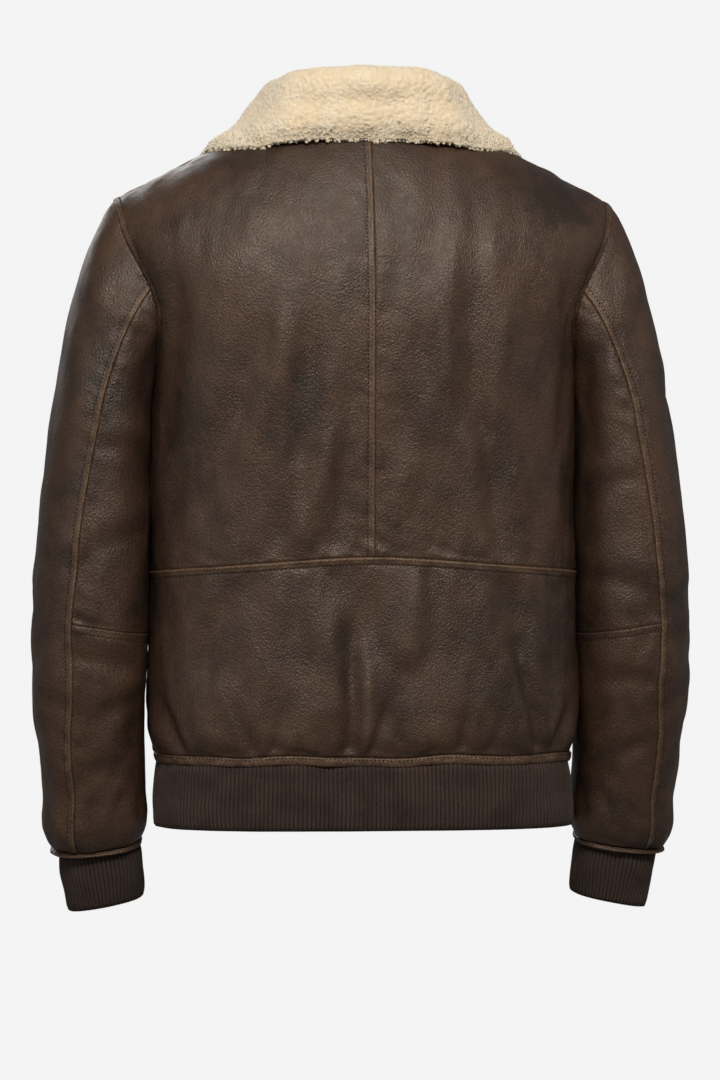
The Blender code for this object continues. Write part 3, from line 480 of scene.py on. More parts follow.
def collar_skin(turn, w):
    """The collar's skin line: w is 0 on the neck seam, about 0.45 at the fold and 1 at the edge."""
    fold = stack(*(read(COLLAR, name, turn, "round") for name in ("fold_x", "fold_y", "fold_z")))
    edge = stack(*(read(COLLAR, name, turn, "round") for name in ("edge_x", "edge_y", "edge_z")))
    seam = neckline(turn)
    out = unit((edge - fold) * LEVEL)
    edge = edge - UP * 0.0070 * np.exp(-(((turn - 0.36) / 0.17) ** 2))[..., None]
    sunk = (np.exp(-(((turn - 0.42) / 0.20) ** 2)))[..., None]
    guides = (seam + UP * 0.0012, seam + (fold - seam) * 0.55 - out * 0.001,
              fold - out * 0.0040 - UP * 0.0050, fold + out * 0.0010 - UP * sunk * 0.0020,
              fold + out * (0.0080 - 0.0020 * sunk) - UP * (0.0050 + 0.0030 * sunk),
              fold + (edge - fold) * 0.55 + UP * (0.004 - 0.0080 * sunk) - out * 0.0030 * sunk, edge)
    keys = np.array([0.0, 0.22, 0.40, 0.48, 0.57, 0.78, 1.0])
    values = np.stack(guides)
    row = np.clip(np.searchsorted(keys, w) - 1, 0, len(keys) - 2)
    slopes = np.gradient(values, keys, axis=0)
    step = (keys[row + 1] - keys[row])[..., None]
    s = (w[..., None] - keys[row][..., None]) / step
    take = lambda grid, which: np.take_along_axis(grid, which[None, ..., None], axis=0)[0]
    skin = hermite(s, step, *(take(grid, which) for grid in (values, slopes) for which in (row, row + 1)))
    clear = (UNDER_COLLAR + COLLAR_CLEAR) * ease(w, 0.5, 0.62)
    return np.where((w > 0.5)[..., None], laid_over(skin, clear), skin)


def chest_line(x, z):
    """Points and normals of the front's outer face at x and z, near the zip."""
    def depth(at_x, at_z):
        half = read(TORSO, "half_width", at_z)
        low = -read(TORSO, "front", at_z) * (1.0 - np.abs(at_x / half) ** FRONT_SQUARE) ** (1 / FRONT_SQUARE)
        return np.where(at_z > ARMPIT_Z, -yoke_depth(at_x, at_z, True), low)

    step = 1e-4
    slope_x = (depth(x + step, z) - depth(x - step, z)) / (2.0 * step)
    slope_z = (depth(x, z + step) - depth(x, z - step)) / (2.0 * step)
    return stack(x, depth(x, z), z), unit(stack(slope_x, -1.0, slope_z))


# The grids' steps, and the closer rows beside a seam
GRID_STEP = 0.0036
FRONT_STEP = 0.0046
SEAM_STEPS = (0.0, 0.0006, 0.0013, 0.0022, 0.0033, 0.0044, 0.0053, 0.0062, 0.0071, 0.0085)
COLLAR_STEP = 0.004
SEED = 11

# A seam: the lap's ridge and flat band, how uneven they are, the tuck beside them, and the puckers
RIDGE_RISE = 0.0007
RIDGE_FLAT = 0.0012
RIDGE_END = 0.0034
BAND_RISE = 0.0005
LAP_UNEVEN = 0.15
LAP_UNEVEN_SIZE = 0.012
LAP_ENDS = (-0.002, 0.005)
LOW_LAP = 0.4
TUCK_DEPTH = 0.0010
TUCK_END = 0.0019
PUCKER_SIZE = 0.019
PUCKER_DEPTH = 0.00045
PUCKER_REACH = 0.014
LAP_UNDER = 0.0007

# How worn the leather is on a seam's flat band, beside a tuck and on a crest
BAND_WEAR = 0.50
TUCK_WEAR = 0.30
CREST_WEAR = 0.30

# Stitches, and the groove that they lie in
STITCH_PITCH = 0.0036
STITCH_LENGTH = 0.0015
STITCH_RADIUS = 0.00055
STITCH_INSET = 0.0062
STRIP_STITCH_INSET = 0.0017
GROOVE_DEPTH = 0.00030
GROOVE_WIDTH = 0.0010

# Leather panels: the shell's thickness, and soft streaks that calm down towards the seams
LEATHER_SHELL = 0.0016
THINNEST_SHELL = 0.0009
STREAKS = ((0.00045, 0.034), (0.00014, 0.013))
STREAK_STRETCH = 0.38
CALM_EDGE = 0.012

# Leather strips and the line of the hem's strip, which wavers
STRIP_COLUMNS = 460
STRIP_ROWS = 9
STRIP_CUT = 0.0120
STRIP_RISE = 0.0014
STRIP_SHELL = 0.0020
CUFF_STRIP_RISE = 0.0006
CUFF_STRIP_SHELL = 0.0018
WAVER = 0.0009
WAVER_SIZE = 0.085
WAVER_REACH = 0.018

# Ribs of the knit
RIB_COLUMNS = 8
RIB_ROWS = 12
RIB_DEPTH = 0.0012
RIB_EDGE_FALL = 0.0009
RIB_EDGE_REACH = 0.0022
KNIT_SHELL = 0.0028
KNIT_BULGE = 0.0016

# Fleece: the collar's rows and columns below and above a split, its clumps and its curls
COLLAR_ROWS = (20, 86)
COLLAR_ROW_SPLIT = 0.36
COLLAR_COLUMNS = (160, 68)
COLLAR_COLUMN_SPLIT = 0.55
CLUMP_SIZE = 0.0062
CURL_SIZE = 0.0030
WARP_SIZE = 0.009
WARP_DEPTH = 0.0008
PILE_SEED = 5
CLUMP_DEPTH = 0.0009
CURL_DEPTH = 0.0004
FLEECE_THINNEST = 0.0018
CURLS = 6500
CURL_RADIUS = (0.0013, 0.0023)

# How far the sleeves and the body's sides swell where they touch
SIDE_SWELL = 0.0020
# The heights between which that swell starts, on the body and on each sleeve, and ends
SWELL_BODY = (-0.575, -0.530)
SWELL_SLEEVES = {1: (-0.530, -0.490), -1: (-0.575, -0.535)}
SWELL_TOP = (-0.270, -0.235)

# Zip teeth
TOOTH_PITCH = 0.0030
TOOTH_HALF = 0.00052
TOOTH_DEEP = 0.00105
TOOTH_SUNK = 0.0021

# The leather's marks from large to small, the knit's loops and the fleece's nubs
PATCH_SIZE = 0.085
CLOUD_SIZE = 0.026
CRINKLE_SIZE = 0.011
SPECK_SIZE = 0.0040
CREASE_SIZE = 0.0026
GRAIN_SIZE = 0.0014
GRAIN_DEPTH = 0.00038
PORE_SIZE = 0.0010
LOOP_SIZE = 0.0011
NUB_SIZE = 0.0032

# Colours, as linear light
LEATHER_BASE = (0.070, 0.0358, 0.0212)
# The leather's dark colour: real stains and specks, and painted shade low on the back and between the grain's
# pebbles
LEATHER_DARK_AND_SHADE = (0.017, 0.0108, 0.0080)
LEATHER_SHADE = (0.036, 0.0195, 0.0125)
# The warm colour: a random mottle, warmer patches of the leather, and painted highlight on the right shoulder
# blade and the middle of the back
LEATHER_WARM_AND_HIGHLIGHT = (0.090, 0.0440, 0.0225)
LEATHER_WORN = (0.170, 0.098, 0.052)
LEATHER_GLOSS = 0.55
LEATHER_SHINE = (1.0, 0.86, 0.74)
KNIT_BASE = (0.054, 0.033, 0.025)
# The knit's dark colour: painted shade in the ribs' grooves, and random darker patches
KNIT_DARK_AND_SHADE = (0.010, 0.007, 0.006)
KNIT_LIGHT = (0.075, 0.050, 0.039)
KNIT_SHEEN = (0.45, 0.36, 0.30)
FLEECE_BASE = (0.88, 0.700, 0.468)
FLEECE_LIGHT = (0.91, 0.770, 0.565)
# The fleece's deep colour: painted shade in the crevices between its clumps and nubs, and the random deeper
# tint of some curls
FLEECE_DEEP_AND_SHADE = (0.80, 0.610, 0.395)
FLEECE_SHEEN = (1.0, 0.95, 0.85)
THREAD = (0.012, 0.008, 0.006)
TAPE_WEAVE = (0.020, 0.015, 0.012)
METAL_BRIGHT = (0.42, 0.31, 0.17)
METAL_DULL = (0.22, 0.17, 0.11)
BACKDROP = (0.897, 0.897, 0.897)
WORLD_STRENGTH = 0.16
WORLD_COLOUR = (0.96, 0.98, 1.0, 1.0)
FLOOR_Z = -1.45
FLOOR_HOLE = 0.0001
WALL_RADIUS = 9.0
WALL_TOP_Z = 2.5
BEND = 2.0

# The lights: each one's place, the height it aims at, its size, its power and its colour
Light = namedtuple("Light", "name place aim_z size power tint")
LIGHTS = (
    Light("key", (0.08, 2.10, 1.20), -0.28, (1.9, 0.4), 50.0, (1.0, 0.99, 0.97)),
    Light("top", (0.3, 1.2, 2.4), -0.28, (1.6, 1.2), 4.0, (1.0, 0.985, 0.96)),
    Light("fill", (0.1, 3.6, -0.6), -0.4, (2.6, 2.2), 1.0, (1.0, 1.0, 1.0)),
    Light("left", (2.4, 1.5, 0.0), -0.28, (1.0, 2.0), 7.0, (1.0, 1.0, 1.0)),
    Light("right", (-2.6, 0.6, 0.5), -0.28, (1.0, 2.0), 5.0, (1.0, 1.0, 1.0)),
    Light("front", (0.6, -3.2, 1.2), -0.28, (2.4, 1.6), 44.0, (1.0, 1.0, 1.0)),
)

# The camera stands behind the wearer, a little to the left
CAMERA_TURN = 5.5
CAMERA_RANGE = 3.5
CAMERA_Z = -0.3735
CAMERA_AIM_X = 0.0014
FRAME_HEIGHT = 0.983
SENSOR = 36.0

# Folds of the body, in millimetres: where each starts and ends, its width and its depth, which is
# below zero for a ridge
Fold = namedtuple("Fold", "top_x top_z foot_x foot_z width depth")
FOLD_END = 0.020
BACK_FOLDS = metres(Fold, (
    (19, -395, 19.5, -475, 15, 3.4),
    (19.5, -450, 21.5, -574, 7.2, 6.2),
    (6, -490, 6, -562, 10, -3.6),
    (42, -420, 44, -540, 18, -2.6),
    (-11.8, -515, 8.2, -574, 4.5, 4),
    (-35, -395, -34.5, -488, 12, -4.4),
    (-82.8, -515, -79.1, -574, 4.5, 3.6),
    (-111.9, -540, -93.6, -574, 4.6, 3.4),
    (-113.6, -395, -132.6, -485, 12, 5.2),
    (-131, -460, -152.6, -574, 6, 5.8),
    (-183.5, -512, -157.2, -572, 6, 5.2),
    (122, -400, 149.3, -505, 16, 4),
    (189.5, -512, 160.4, -574, 5.6, 5),
    (123.8, -520, 101.9, -574, 4.6, 3.8),
    (79.4, -520, 94.7, -574, 4.5, 3.4),
    (144.4, -525, 136.4, -562, 12, -2.6),
    (59.4, -525, 55.4, -566, 15, -2.8),
    (-44.6, -520, -46.6, -566, 16, -3),
    (81, -145, 83.7, -312, 10, -3.2),
    (51, -186, 67.4, -312, 13, 4),
    (33.7, -268, 67.4, -384, 12, -3.4),
    (17.4, -224, 36.4, -392, 10, 3.6),
    (101.9, -186, 151.1, -360, 17, 5.2),
    (131.1, -215, 158, -330, 10, -2.6),
    (155.6, -128, 173.2, -200, 12, 3.6),
    (166.8, -280, 180.4, -362, 9.5, 3.6),
    (-69.1, -105, -64.6, -245, 11, -3.4),
    (-82.8, -152, -96.4, -290, 15, 5.2),
    (-94.6, -268, -116.5, -394, 9.5, 5.6),
    (-137.4, -145, -160.8, -250, 13, 3.6),
    (-177.2, -300, -188.1, -375, 9, 3.6),
    (-18.6, -300, -28.6, -390, 15, -2),
    (176, -125, 179, -300, 7.5, 4),
    (-176, -125, -179, -300, 7.5, 4),
))
FRONT_FOLDS = metres(Fold, (
    (50, -470, 46, -562, 10, 2.8),
    (98, -500, 92, -563, 8, 2.6),
    (140, -490, 130, -563, 9, 3),
    (-58, -480, -50, -562, 10, 2.8),
    (-108, -490, -100, -563, 8, 3),
    (-150, -500, -140, -563, 8, 2.6),
    (120, -150, 150, -330, 22, 3),
    (-116, -160, -148, -340, 22, 3.2),
    (70, -180, 80, -420, 26, 2.6),
    (-66, -200, -86, -430, 26, 2.4),
    (178, -130, 180, -300, 7.5, 3.5),
    (-178, -130, -180, -300, 7.5, 3.5),
))

# Patches of the leather, in millimetres, and how much darker or, below zero, warmer they are: some are real
# stains, the broad darker patches low on the back are painted shade, and the warmer patches on the right
# shoulder blade and the middle of the back are painted highlight
StainAndLight = namedtuple("StainAndLight", "x z half_width half_height amount")
STAINS_AND_LIGHT = metres(StainAndLight, (
    (-170, -73, 40, 32, 1),
    (116, -32, 40, 22, 0.5),
    (57, -240, 22, 45, 0.8),
    (25, -146, 16, 36, 0.6),
    (238, -232, 15, 55, 0.9),
    (166, -280, 30, 55, 0.6),
    (-110, -300, 18, 60, 0.6),
    (-170, -440, 30, 70, 0.6),
    (30, -480, 20, 50, 0.6),
    (200, -420, 20, 60, 0.4),
    (270, -560, 40, 85, -0.7),
    (-235, -540, 45, 85, -0.6),
    (-253, -355, 35, 60, -0.5),
    (143, -537, 55, 30, -0.6),
    (-98, -373, 55, 30, -0.5),
    (-50, -540, 50, 30, -0.4),
    (220, -95, 45, 35, -0.5),
    (290, -420, 30, 50, 0.4),
    (120, -170, 40, 50, -0.4),
    (130, -470, 60, 80, 0.35),
    (-120, -500, 60, 70, 0.55),
    (120, -75, 60, 30, 0.3),
    (-10, -330, 45, 60, -0.45),
    (-140, -160, 40, 50, -0.5),
), ("amount",))

# Folds of the sleeves, in degrees and millimetres: their middle's angle round the sleeve and
# height, their length, how far they turn from level, their width and depth, and their side, where
# 0 is both
SleeveFold = namedtuple("SleeveFold", "angle z length turn width depth side")
SLEEVE_FOLDS = metres(SleeveFold, (
    (70, -190, 110, -62, 11, 2.6, 0),
    (110, -215, 90, -70, 9, 3, 1),
    (118, -225, 80, -58, 8.5, 3, -1),
    (40, -250, 90, -50, 15, 1.6, -1),
    (30, -230, 100, -64, 15, 1.6, 1),
    (130, -300, 80, -36, 10, 2.6, 1),
    (125, -330, 75, -30, 9.5, 2.4, -1),
    (105, -375, 70, 24, 10, 2.2, 1),
    (110, -410, 80, 18, 9.5, 2.4, -1),
    (60, -395, 70, -20, 11, 1.8, 1),
    (55, -430, 80, -24, 11, 1.8, -1),
    (100, -480, 75, -16, 9, 2.4, 1),
    (96, -500, 70, 14, 9, 2.2, -1),
    (120, -520, 65, 22, 8.5, 2.2, 1),
    (60, -520, 60, -28, 9, 1.8, 0),
    (40, -470, 75, 30, 12, 1.6, 0),
    (105, -565, 70, -20, 8, 2.4, -1),
    (85, -585, 70, 26, 8, 2, 1),
    (130, -590, 50, -30, 8, 2, 0),
    (110, -620, 50, 70, 5.5, 2.2, 0),
    (85, -625, 45, 78, 5, 2, 0),
    (60, -622, 50, 84, 5.5, 2, 0),
    (35, -625, 45, -80, 5.5, 1.8, 0),
    (140, -622, 45, 80, 5.5, 2, 0),
    (10, -560, 90, 40, 12, 1.6, 0),
    (340, -420, 90, -30, 11, 2, 0),
    (300, -440, 90, 20, 10, 3, 0),
    (250, -430, 70, 10, 9, 3.4, 0),
    (290, -470, 80, -18, 9, 2.8, 0),
    (270, -380, 80, 30, 10, 2.6, 0),
    (290, -220, 100, 60, 12, 2.6, 0),
    (320, -560, 80, 24, 10, 2.2, 0),
    (280, -620, 50, 80, 5.5, 2, 0),
    (310, -624, 48, -82, 5.5, 2, 0),
), ("angle", "turn", "side"))
SLEEVE_RADIUS = 0.055


def waves(points, size, seed, count=14):
    """Smooth seeded noise of about one unit: a sum of waves of one size in all directions."""
    rng = np.random.default_rng(seed)
    total = np.zeros(points.shape[:-1])
    for _ in range(count):
        way = unit(rng.normal(size=3))
        pace = 2.0 * np.pi / size * rng.uniform(0.7, 1.4)
        total += np.sin(points @ way * pace + rng.uniform(0.0, 6.28))
    return total / np.sqrt(count / 2.0)


def folds_at(points, folds):
    """How deep folds in a table run at each point, each between two low swells."""
    depth = np.zeros(points.shape[:-1])
    for fold in folds:
        along = (points[..., 2] - fold.top_z) / (fold.foot_z - fold.top_z)
        bend = 0.22 * fold.width * np.sin(along * 5.0 + fold.top_x * 90.0)
        line_x = fold.top_x + (fold.foot_x - fold.top_x) * along + bend
        lean = 1.0 + 0.30 * np.sin(fold.top_x * 140.0) * np.sign(points[..., 0] - line_x)
        away = np.abs(points[..., 0] - line_x) / (fold.width * lean)
        across = np.exp(-(away**2)) - 0.26 * np.exp(-(((away - 2.1) / 0.9) ** 2))
        end = FOLD_END / abs(fold.foot_z - fold.top_z)
        inside = ease(along, -end, 2.0 * end) * (1.0 - ease(along, 1.0 - end, 1.0 + 0.3 * end))
        depth += fold.depth * across * inside
    return depth


def stains_and_light_at(points):
    """Darker patches above zero and warmer ones below, at each point of the back: real stains, painted shade
    low on the back, and painted highlight on the right shoulder blade and the middle of the back.
    """
    total = np.zeros(points.shape[:-1])
    for stain_and_light in STAINS_AND_LIGHT:
        across = (points[..., 0] - stain_and_light.x) / stain_and_light.half_width
        up = (points[..., 2] - stain_and_light.z) / stain_and_light.half_height
        total += stain_and_light.amount * np.exp(-(across**2 + up**2)) * (points[..., 1] > -0.02)
    return total


def sleeve_folds_at(angle, z, side):
    """How deep the sleeve's folds are at an angle round it and a height."""
    depth = np.zeros(angle.shape)
    for fold in SLEEVE_FOLDS:
        if fold.side not in (0, side):
            continue
        around = (np.mod(angle - fold.angle + 180.0, 360.0) - 180.0) * np.pi / 180.0 * SLEEVE_RADIUS
        up = z - fold.z
        turn = np.radians(fold.turn + 4.0 * side)
        along = around * np.cos(turn) + up * np.sin(turn)
        across = up * np.cos(turn) - around * np.sin(turn) + 6.0 * along**2
        ends = 1.0 - ease(np.abs(along), 0.25 * fold.length, 0.62 * fold.length)
        ridge = np.exp(-(((across - 1.9 * fold.width) / (1.3 * fold.width)) ** 2))
        depth += fold.depth * ends * (np.exp(-((across / fold.width) ** 2)) - 0.45 * ridge)
    return depth


def refined(length, low=True, high=True, step=GRID_STEP):
    """Fractions along a length, closer together towards the ends that are seams."""
    fine = np.array(SEAM_STEPS)
    start = fine if low else fine[:1]
    end = length - (fine if high else fine[:1])[::-1]
    count = max(2, int(round((end[0] - start[-1]) / step)) + 1)
    return np.concatenate([start[:-1], np.linspace(start[-1], end[0], count), end[1:]]) / length


def walked(points, axis, back=False):
    """Distance along a grid's rows or columns from its first or last border."""
    steps = np.linalg.norm(np.diff(points, axis=axis), axis=-1)
    zero = np.zeros_like(np.take(steps, [0], axis=axis))
    total = np.cumsum(np.concatenate([zero, steps], axis=axis), axis=axis)
    return np.take(total, [-1], axis=axis) - total if back else total


def both_ends(points, axis, low, high):
    """0 near a grid's two borders across an axis, and 1 away from them."""
    return ease(walked(points, axis), low, high) * ease(walked(points, axis, True), low, high)


# A grid's borders: the axis across each, and whether it is the last one
SIDES = {"low_row": (0, False), "high_row": (0, True), "low_column": (1, False), "high_column": (1, True)}


def seam_relief(points, seams):
    """How far the seams raise each point, and how worn they leave it."""
    rise = np.zeros(points.shape[:-1])
    wear = np.zeros(points.shape[:-1])
    for side, kind in seams.items():
        away = walked(points, *SIDES[side])
        pucker = waves(points, PUCKER_SIZE, SEED + 3) * PUCKER_DEPTH * np.exp(-away / PUCKER_REACH)
        rise += pucker * ease(away, 0.0, 0.006)
        if kind in ("lap", "low lap"):
            share = 1.0 if kind == "lap" else LOW_LAP
            ends = both_ends(points, 1 - SIDES[side][0], *LAP_ENDS)
            lip = 0.45 + 0.55 * ease(away, 0.0, 0.0010)
            ridge = (1.0 - ease(away, RIDGE_FLAT, RIDGE_END)) * lip
            band = (1.0 - ease(away, STITCH_INSET - 0.0014, STITCH_INSET)) * lip
            uneven = 1.0 + LAP_UNEVEN * waves(points, LAP_UNEVEN_SIZE, SEED + 4)
            rise += (RIDGE_RISE * ridge + BAND_RISE * band) * uneven * ends * share
            rise -= GROOVE_DEPTH * np.exp(-(((away - STITCH_INSET) / GROOVE_WIDTH) ** 2))
            wear = np.maximum(wear, share * (1.0 - ease(away, 0.0008, RIDGE_END)))
            wear = np.maximum(wear, BAND_WEAR * share * band)
        else:
            rise -= TUCK_DEPTH * (1.0 - ease(away, 0.0, TUCK_END))
            wear = np.maximum(wear, TUCK_WEAR * (1.0 - ease(away, 0.001, 0.006)))
    return rise, wear


def mesh_object(name, points, quads, attributes=()):
    """A mesh object from points and four-cornered faces, with named numbers on its points."""
    mesh = bpy.data.meshes.new(name)
    mesh.vertices.add(len(points))
    mesh.vertices.foreach_set("co", np.asarray(points, np.float32).ravel())
    mesh.loops.add(quads.size)
    mesh.loops.foreach_set("vertex_index", quads.astype(np.int32).ravel())
    mesh.polygons.add(len(quads))
    mesh.polygons.foreach_set("loop_start", np.arange(0, quads.size, quads.shape[1], dtype=np.int32))
    mesh.update(calc_edges=True)
    for key, values in attributes:
        layer = mesh.attributes.new(key, "FLOAT", "POINT")
        layer.data.foreach_set("value", np.asarray(values, np.float32).ravel())
    mesh.shade_smooth()
    thing = bpy.data.objects.new(name, mesh)
    bpy.context.scene.collection.objects.link(thing)
    return thing


def grid_quads(rows, columns, first, closed):
    """Corner numbers of a grid's faces."""
    last = columns if closed else columns - 1
    low = np.arange(rows - 1)[:, None] * columns + np.arange(last)[None, :]
    near = np.arange(rows - 1)[:, None] * columns + (np.arange(last)[None, :] + 1) % columns
    return np.stack([low, near, near + columns, low + columns], axis=-1).reshape(-1, 4) + first


def shell(name, outer, inner, closed=False, attributes=()):
    """A thin closed shell between an outer and an inner grid of the same size."""
    rows, columns = outer.shape[:2]
    count = rows * columns
    index = np.arange(count).reshape(rows, columns)
    front = grid_quads(rows, columns, 0, closed)
    back = grid_quads(rows, columns, count, closed)[:, ::-1]
    joined = (lambda line: np.append(line, line[:1])) if closed else (lambda line: line)
    borders = [joined(index[0])[::-1], joined(index[-1])]
    if not closed:
        borders += [index[:, 0], index[::-1, -1]]
    rims = [np.stack([line[:-1], line[1:], line[1:] + count, line[:-1] + count], axis=-1)
            for line in borders]
    quads = np.concatenate([front, back] + rims)
    corner, beside, above = outer[0, 0], outer[0, 1], outer[1, 0]
    if np.dot(np.cross(beside - corner, above - corner), corner - inner[0, 0]) < 0.0:
        quads = quads[:, ::-1]
    points = np.concatenate([outer.reshape(-1, 3), inner.reshape(-1, 3)])
    doubled = [(key, np.tile(values.ravel(), 2)) for key, values in attributes]
    return mesh_object(name, points, quads, doubled)


def measure(points):
    """The flat width, length and area of a grid of cloth."""
    width = np.linalg.norm(np.diff(points, axis=1), axis=-1).sum(axis=1).max()
    length = np.linalg.norm(np.diff(points, axis=0), axis=-1).sum(axis=0).max()
    one = np.cross(points[1:, :-1] - points[:-1, :-1], points[:-1, 1:] - points[:-1, :-1])
    two = np.cross(points[1:, :-1] - points[1:, 1:], points[:-1, 1:] - points[1:, 1:])
    area = (np.linalg.norm(one, axis=-1).sum() + np.linalg.norm(two, axis=-1).sum()) / 2.0
    return float(width), float(length), float(area)


def clad(piece, material):
    """Rides a piece on the garment, and gives it its finish."""
    piece.data.materials.append(material)
    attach(piece, "garment")


def dress(piece, node, material, flat):
    """Puts a sheet of cloth in place of its solid, with its finish."""
    clad(piece, material)
    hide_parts(node)
    width, length, area = flat
    length = max(length, STRIP_CUT)


stitch_points = []


def sew(points, facing, side, away_from_edge=STITCH_INSET):
    """Marks a line of stitches beside one border of a grid."""
    axis, back = SIDES[side]
    grids = [points, facing, walked(points, axis, back)]
    if axis == 0:
        grids = [grid.swapaxes(0, 1) for grid in grids]
    if back:
        grids = [grid[:, ::-1] for grid in grids]
    points, facing, away = grids

    def beside(grid):
        """The grid's line at the stitches' distance from the border."""
        return np.array([[np.interp(away_from_edge, a, row[:, k]) for k in range(3)]
                         for a, row in zip(away, grid)])

    line, out = beside(points), unit(beside(facing))
    total = np.concatenate([[0.0], np.cumsum(np.linalg.norm(np.diff(line, axis=0), axis=-1))])
    at = np.arange(STITCH_PITCH, total[-1] - STITCH_PITCH / 2.0, STITCH_PITCH)
    read_at = lambda values, where: stack(*(np.interp(where, total, values[:, k]) for k in range(3)))
    half = STITCH_LENGTH / 2.0
    stitch_points.append((read_at(line, at - half), read_at(line, at + half), unit(read_at(out, at))))


def copies(one, count, each):
    """The faces of many equal small forms, one after another in a mesh."""
    return (one[None] + (np.arange(count) * each)[:, None, None]).reshape(-1, one.shape[1])


def capped(rings, sides):
    """The faces of a short tube of rings with both ends closed."""
    last = (rings - 1) * sides + np.arange(sides)
    return np.concatenate([grid_quads(rings, sides, 0, True), [np.arange(sides)[::-1], last]])


def make_stitches():
    """Every marked stitch as a short rounded thread, in one mesh."""
    start, end, out = (np.concatenate(part) for part in zip(*stitch_points))
    across = unit(np.cross(end - start, out))
    rings = ((-0.05, 0.30, -0.4), (0.20, 1.0, 0.4), (0.80, 1.0, 0.4), (1.05, 0.30, -0.4))
    sides = 4
    points = np.zeros((len(start), len(rings), sides, 3))
    for row, (place, wide, high) in enumerate(rings):
        middle = start + (end - start) * place + out * STITCH_RADIUS * high
        for k, turn in enumerate(np.arange(sides) * 2.0 * np.pi / sides):
            spread = np.cos(turn) * across + np.sin(turn) * out
            points[:, row, k] = middle + spread * STITCH_RADIUS * wide
    faces = copies(capped(len(rings), sides), len(start), len(rings) * sides)
    clad(mesh_object("stitches", points.reshape(-1, 3), faces), stitch_finish())


def mirror(grid, side):
    """A grid on its own side of the garment: -1 is the wearer's right."""
    placed = grid.copy()
    placed[..., 0] *= side
    return placed


def inset(points, seams, gap=SEAM_GAP / 2.0):
    """A grid drawn back a little from each of its seams."""
    placed = points.copy()
    for side in seams:
        axis, back = SIDES[side]
        edge, near = (-1, -2) if back else (0, 1)
        lead = np.take(points, [near], axis=axis) - np.take(points, [edge], axis=axis)
        move = unit(lead) * gap
        if axis == 0:
            placed[edge] += move[0]
        else:
            placed[:, edge] += move[:, 0]
    return placed


def wavering(points):
    """Points near the hem's strip, moved up or down so that its line wavers a little."""
    near = np.exp(-(((points[..., 2] - (STRIP_TOP_Z + STRIP_BOTTOM_Z) / 2.0) / WAVER_REACH) ** 2))
    moved = points.copy()
    moved[..., 2] += WAVER * near * waves(points * LEVEL, WAVER_SIZE, SEED + 50, 6)
    return moved


def swell_height(z, foot):
    """1 over the heights where the sleeves and the body's sides touch."""
    return ease(z, *foot) * (1.0 - ease(z, *SWELL_TOP))


def side_swell(points):
    """How far the body's sides swell towards the sleeves."""
    return SIDE_SWELL * np.exp(-((points[..., 1] / 0.050) ** 2)) * swell_height(points[..., 2], SWELL_BODY)


def make_panel(name, points, facing, seams, depth, sewn=(), swell=0.0):
    """One piece of leather: its form, its folds, its seams and its stitches."""
    rise, wear = seam_relief(points, seams)
    streaky = points * np.array([1.0, 1.0, STREAK_STRETCH])
    streaks = sum(height * waves(streaky, size, SEED + 1 + k) for k, (height, size) in enumerate(STREAKS))
    rise = rise + streaks * both_ends(points, 1, 0.0, CALM_EDGE)
    outer = points + facing * (rise - depth + swell)[..., None]
    inner = points + facing * (swell - np.clip(depth, -0.004, 0.009) - LEATHER_SHELL)[..., None]
    thin = np.einsum("...k,...k->...", outer - inner, facing) < THINNEST_SHELL
    inner = np.where(thin[..., None], outer - facing * THINNEST_SHELL, inner)
    outer, inner = wavering(inset(outer, seams)), wavering(inset(inner, seams, -LAP_UNDER))
    crest = np.clip(-depth / 0.002, 0.0, 1.0)
    # The patches: real stains, with painted shade and painted highlight
    marks = (("wear", np.clip(wear + CREST_WEAR * crest, 0.0, 1.0)), ("stain_and_light", stains_and_light_at(points)))
    for side in sewn:
        sew(outer, facing, side)
    dress(shell(f"{name}_cloth", outer, inner, False, marks), name, leather, measure(points))


def torso_panel(low_z, first, front):
    """A dense panel's points and normals, from low_z(angle) up to its top edge."""
    half = lambda angle: torso_ring(180.0 - angle if front else angle, np.full_like(angle, -0.30))
    fine, walk = walk_round(half, first, 90.0)
    step = FRONT_STEP if front else GRID_STEP
    across = refined(walk[-1], True, True, step)
    angles = np.interp(across * walk[-1], walk, fine)
    low = refined(ARMPIT_Z - float(np.min(low_z(angles))), True, False, step)
    v_list = refined(0.20, False, True, step)
    angle, s = np.meshgrid(angles, np.concatenate([low, v_list[1:] + 1.0]))
    v = np.clip(s - 1.0, 0.0, 1.0)
    base = low_z(angle)
    z = base + (ARMPIT_Z - base) * np.clip(s, 0.0, 1.0)
    ring_angle = 180.0 - angle if front else angle
    points = np.where((v > 0.0)[..., None], yoke(angle, v, front), torso_ring(ring_angle, z))
    found = torso_normals(angle, z, v, front)
    c = armhole_columns(v[:, -1], front)
    edge = v[:, -1] > 0.0
    shared = sleeve_normals(c, np.full_like(c, -1.0))
    found[edge, -1] = shared[edge]
    return points, found


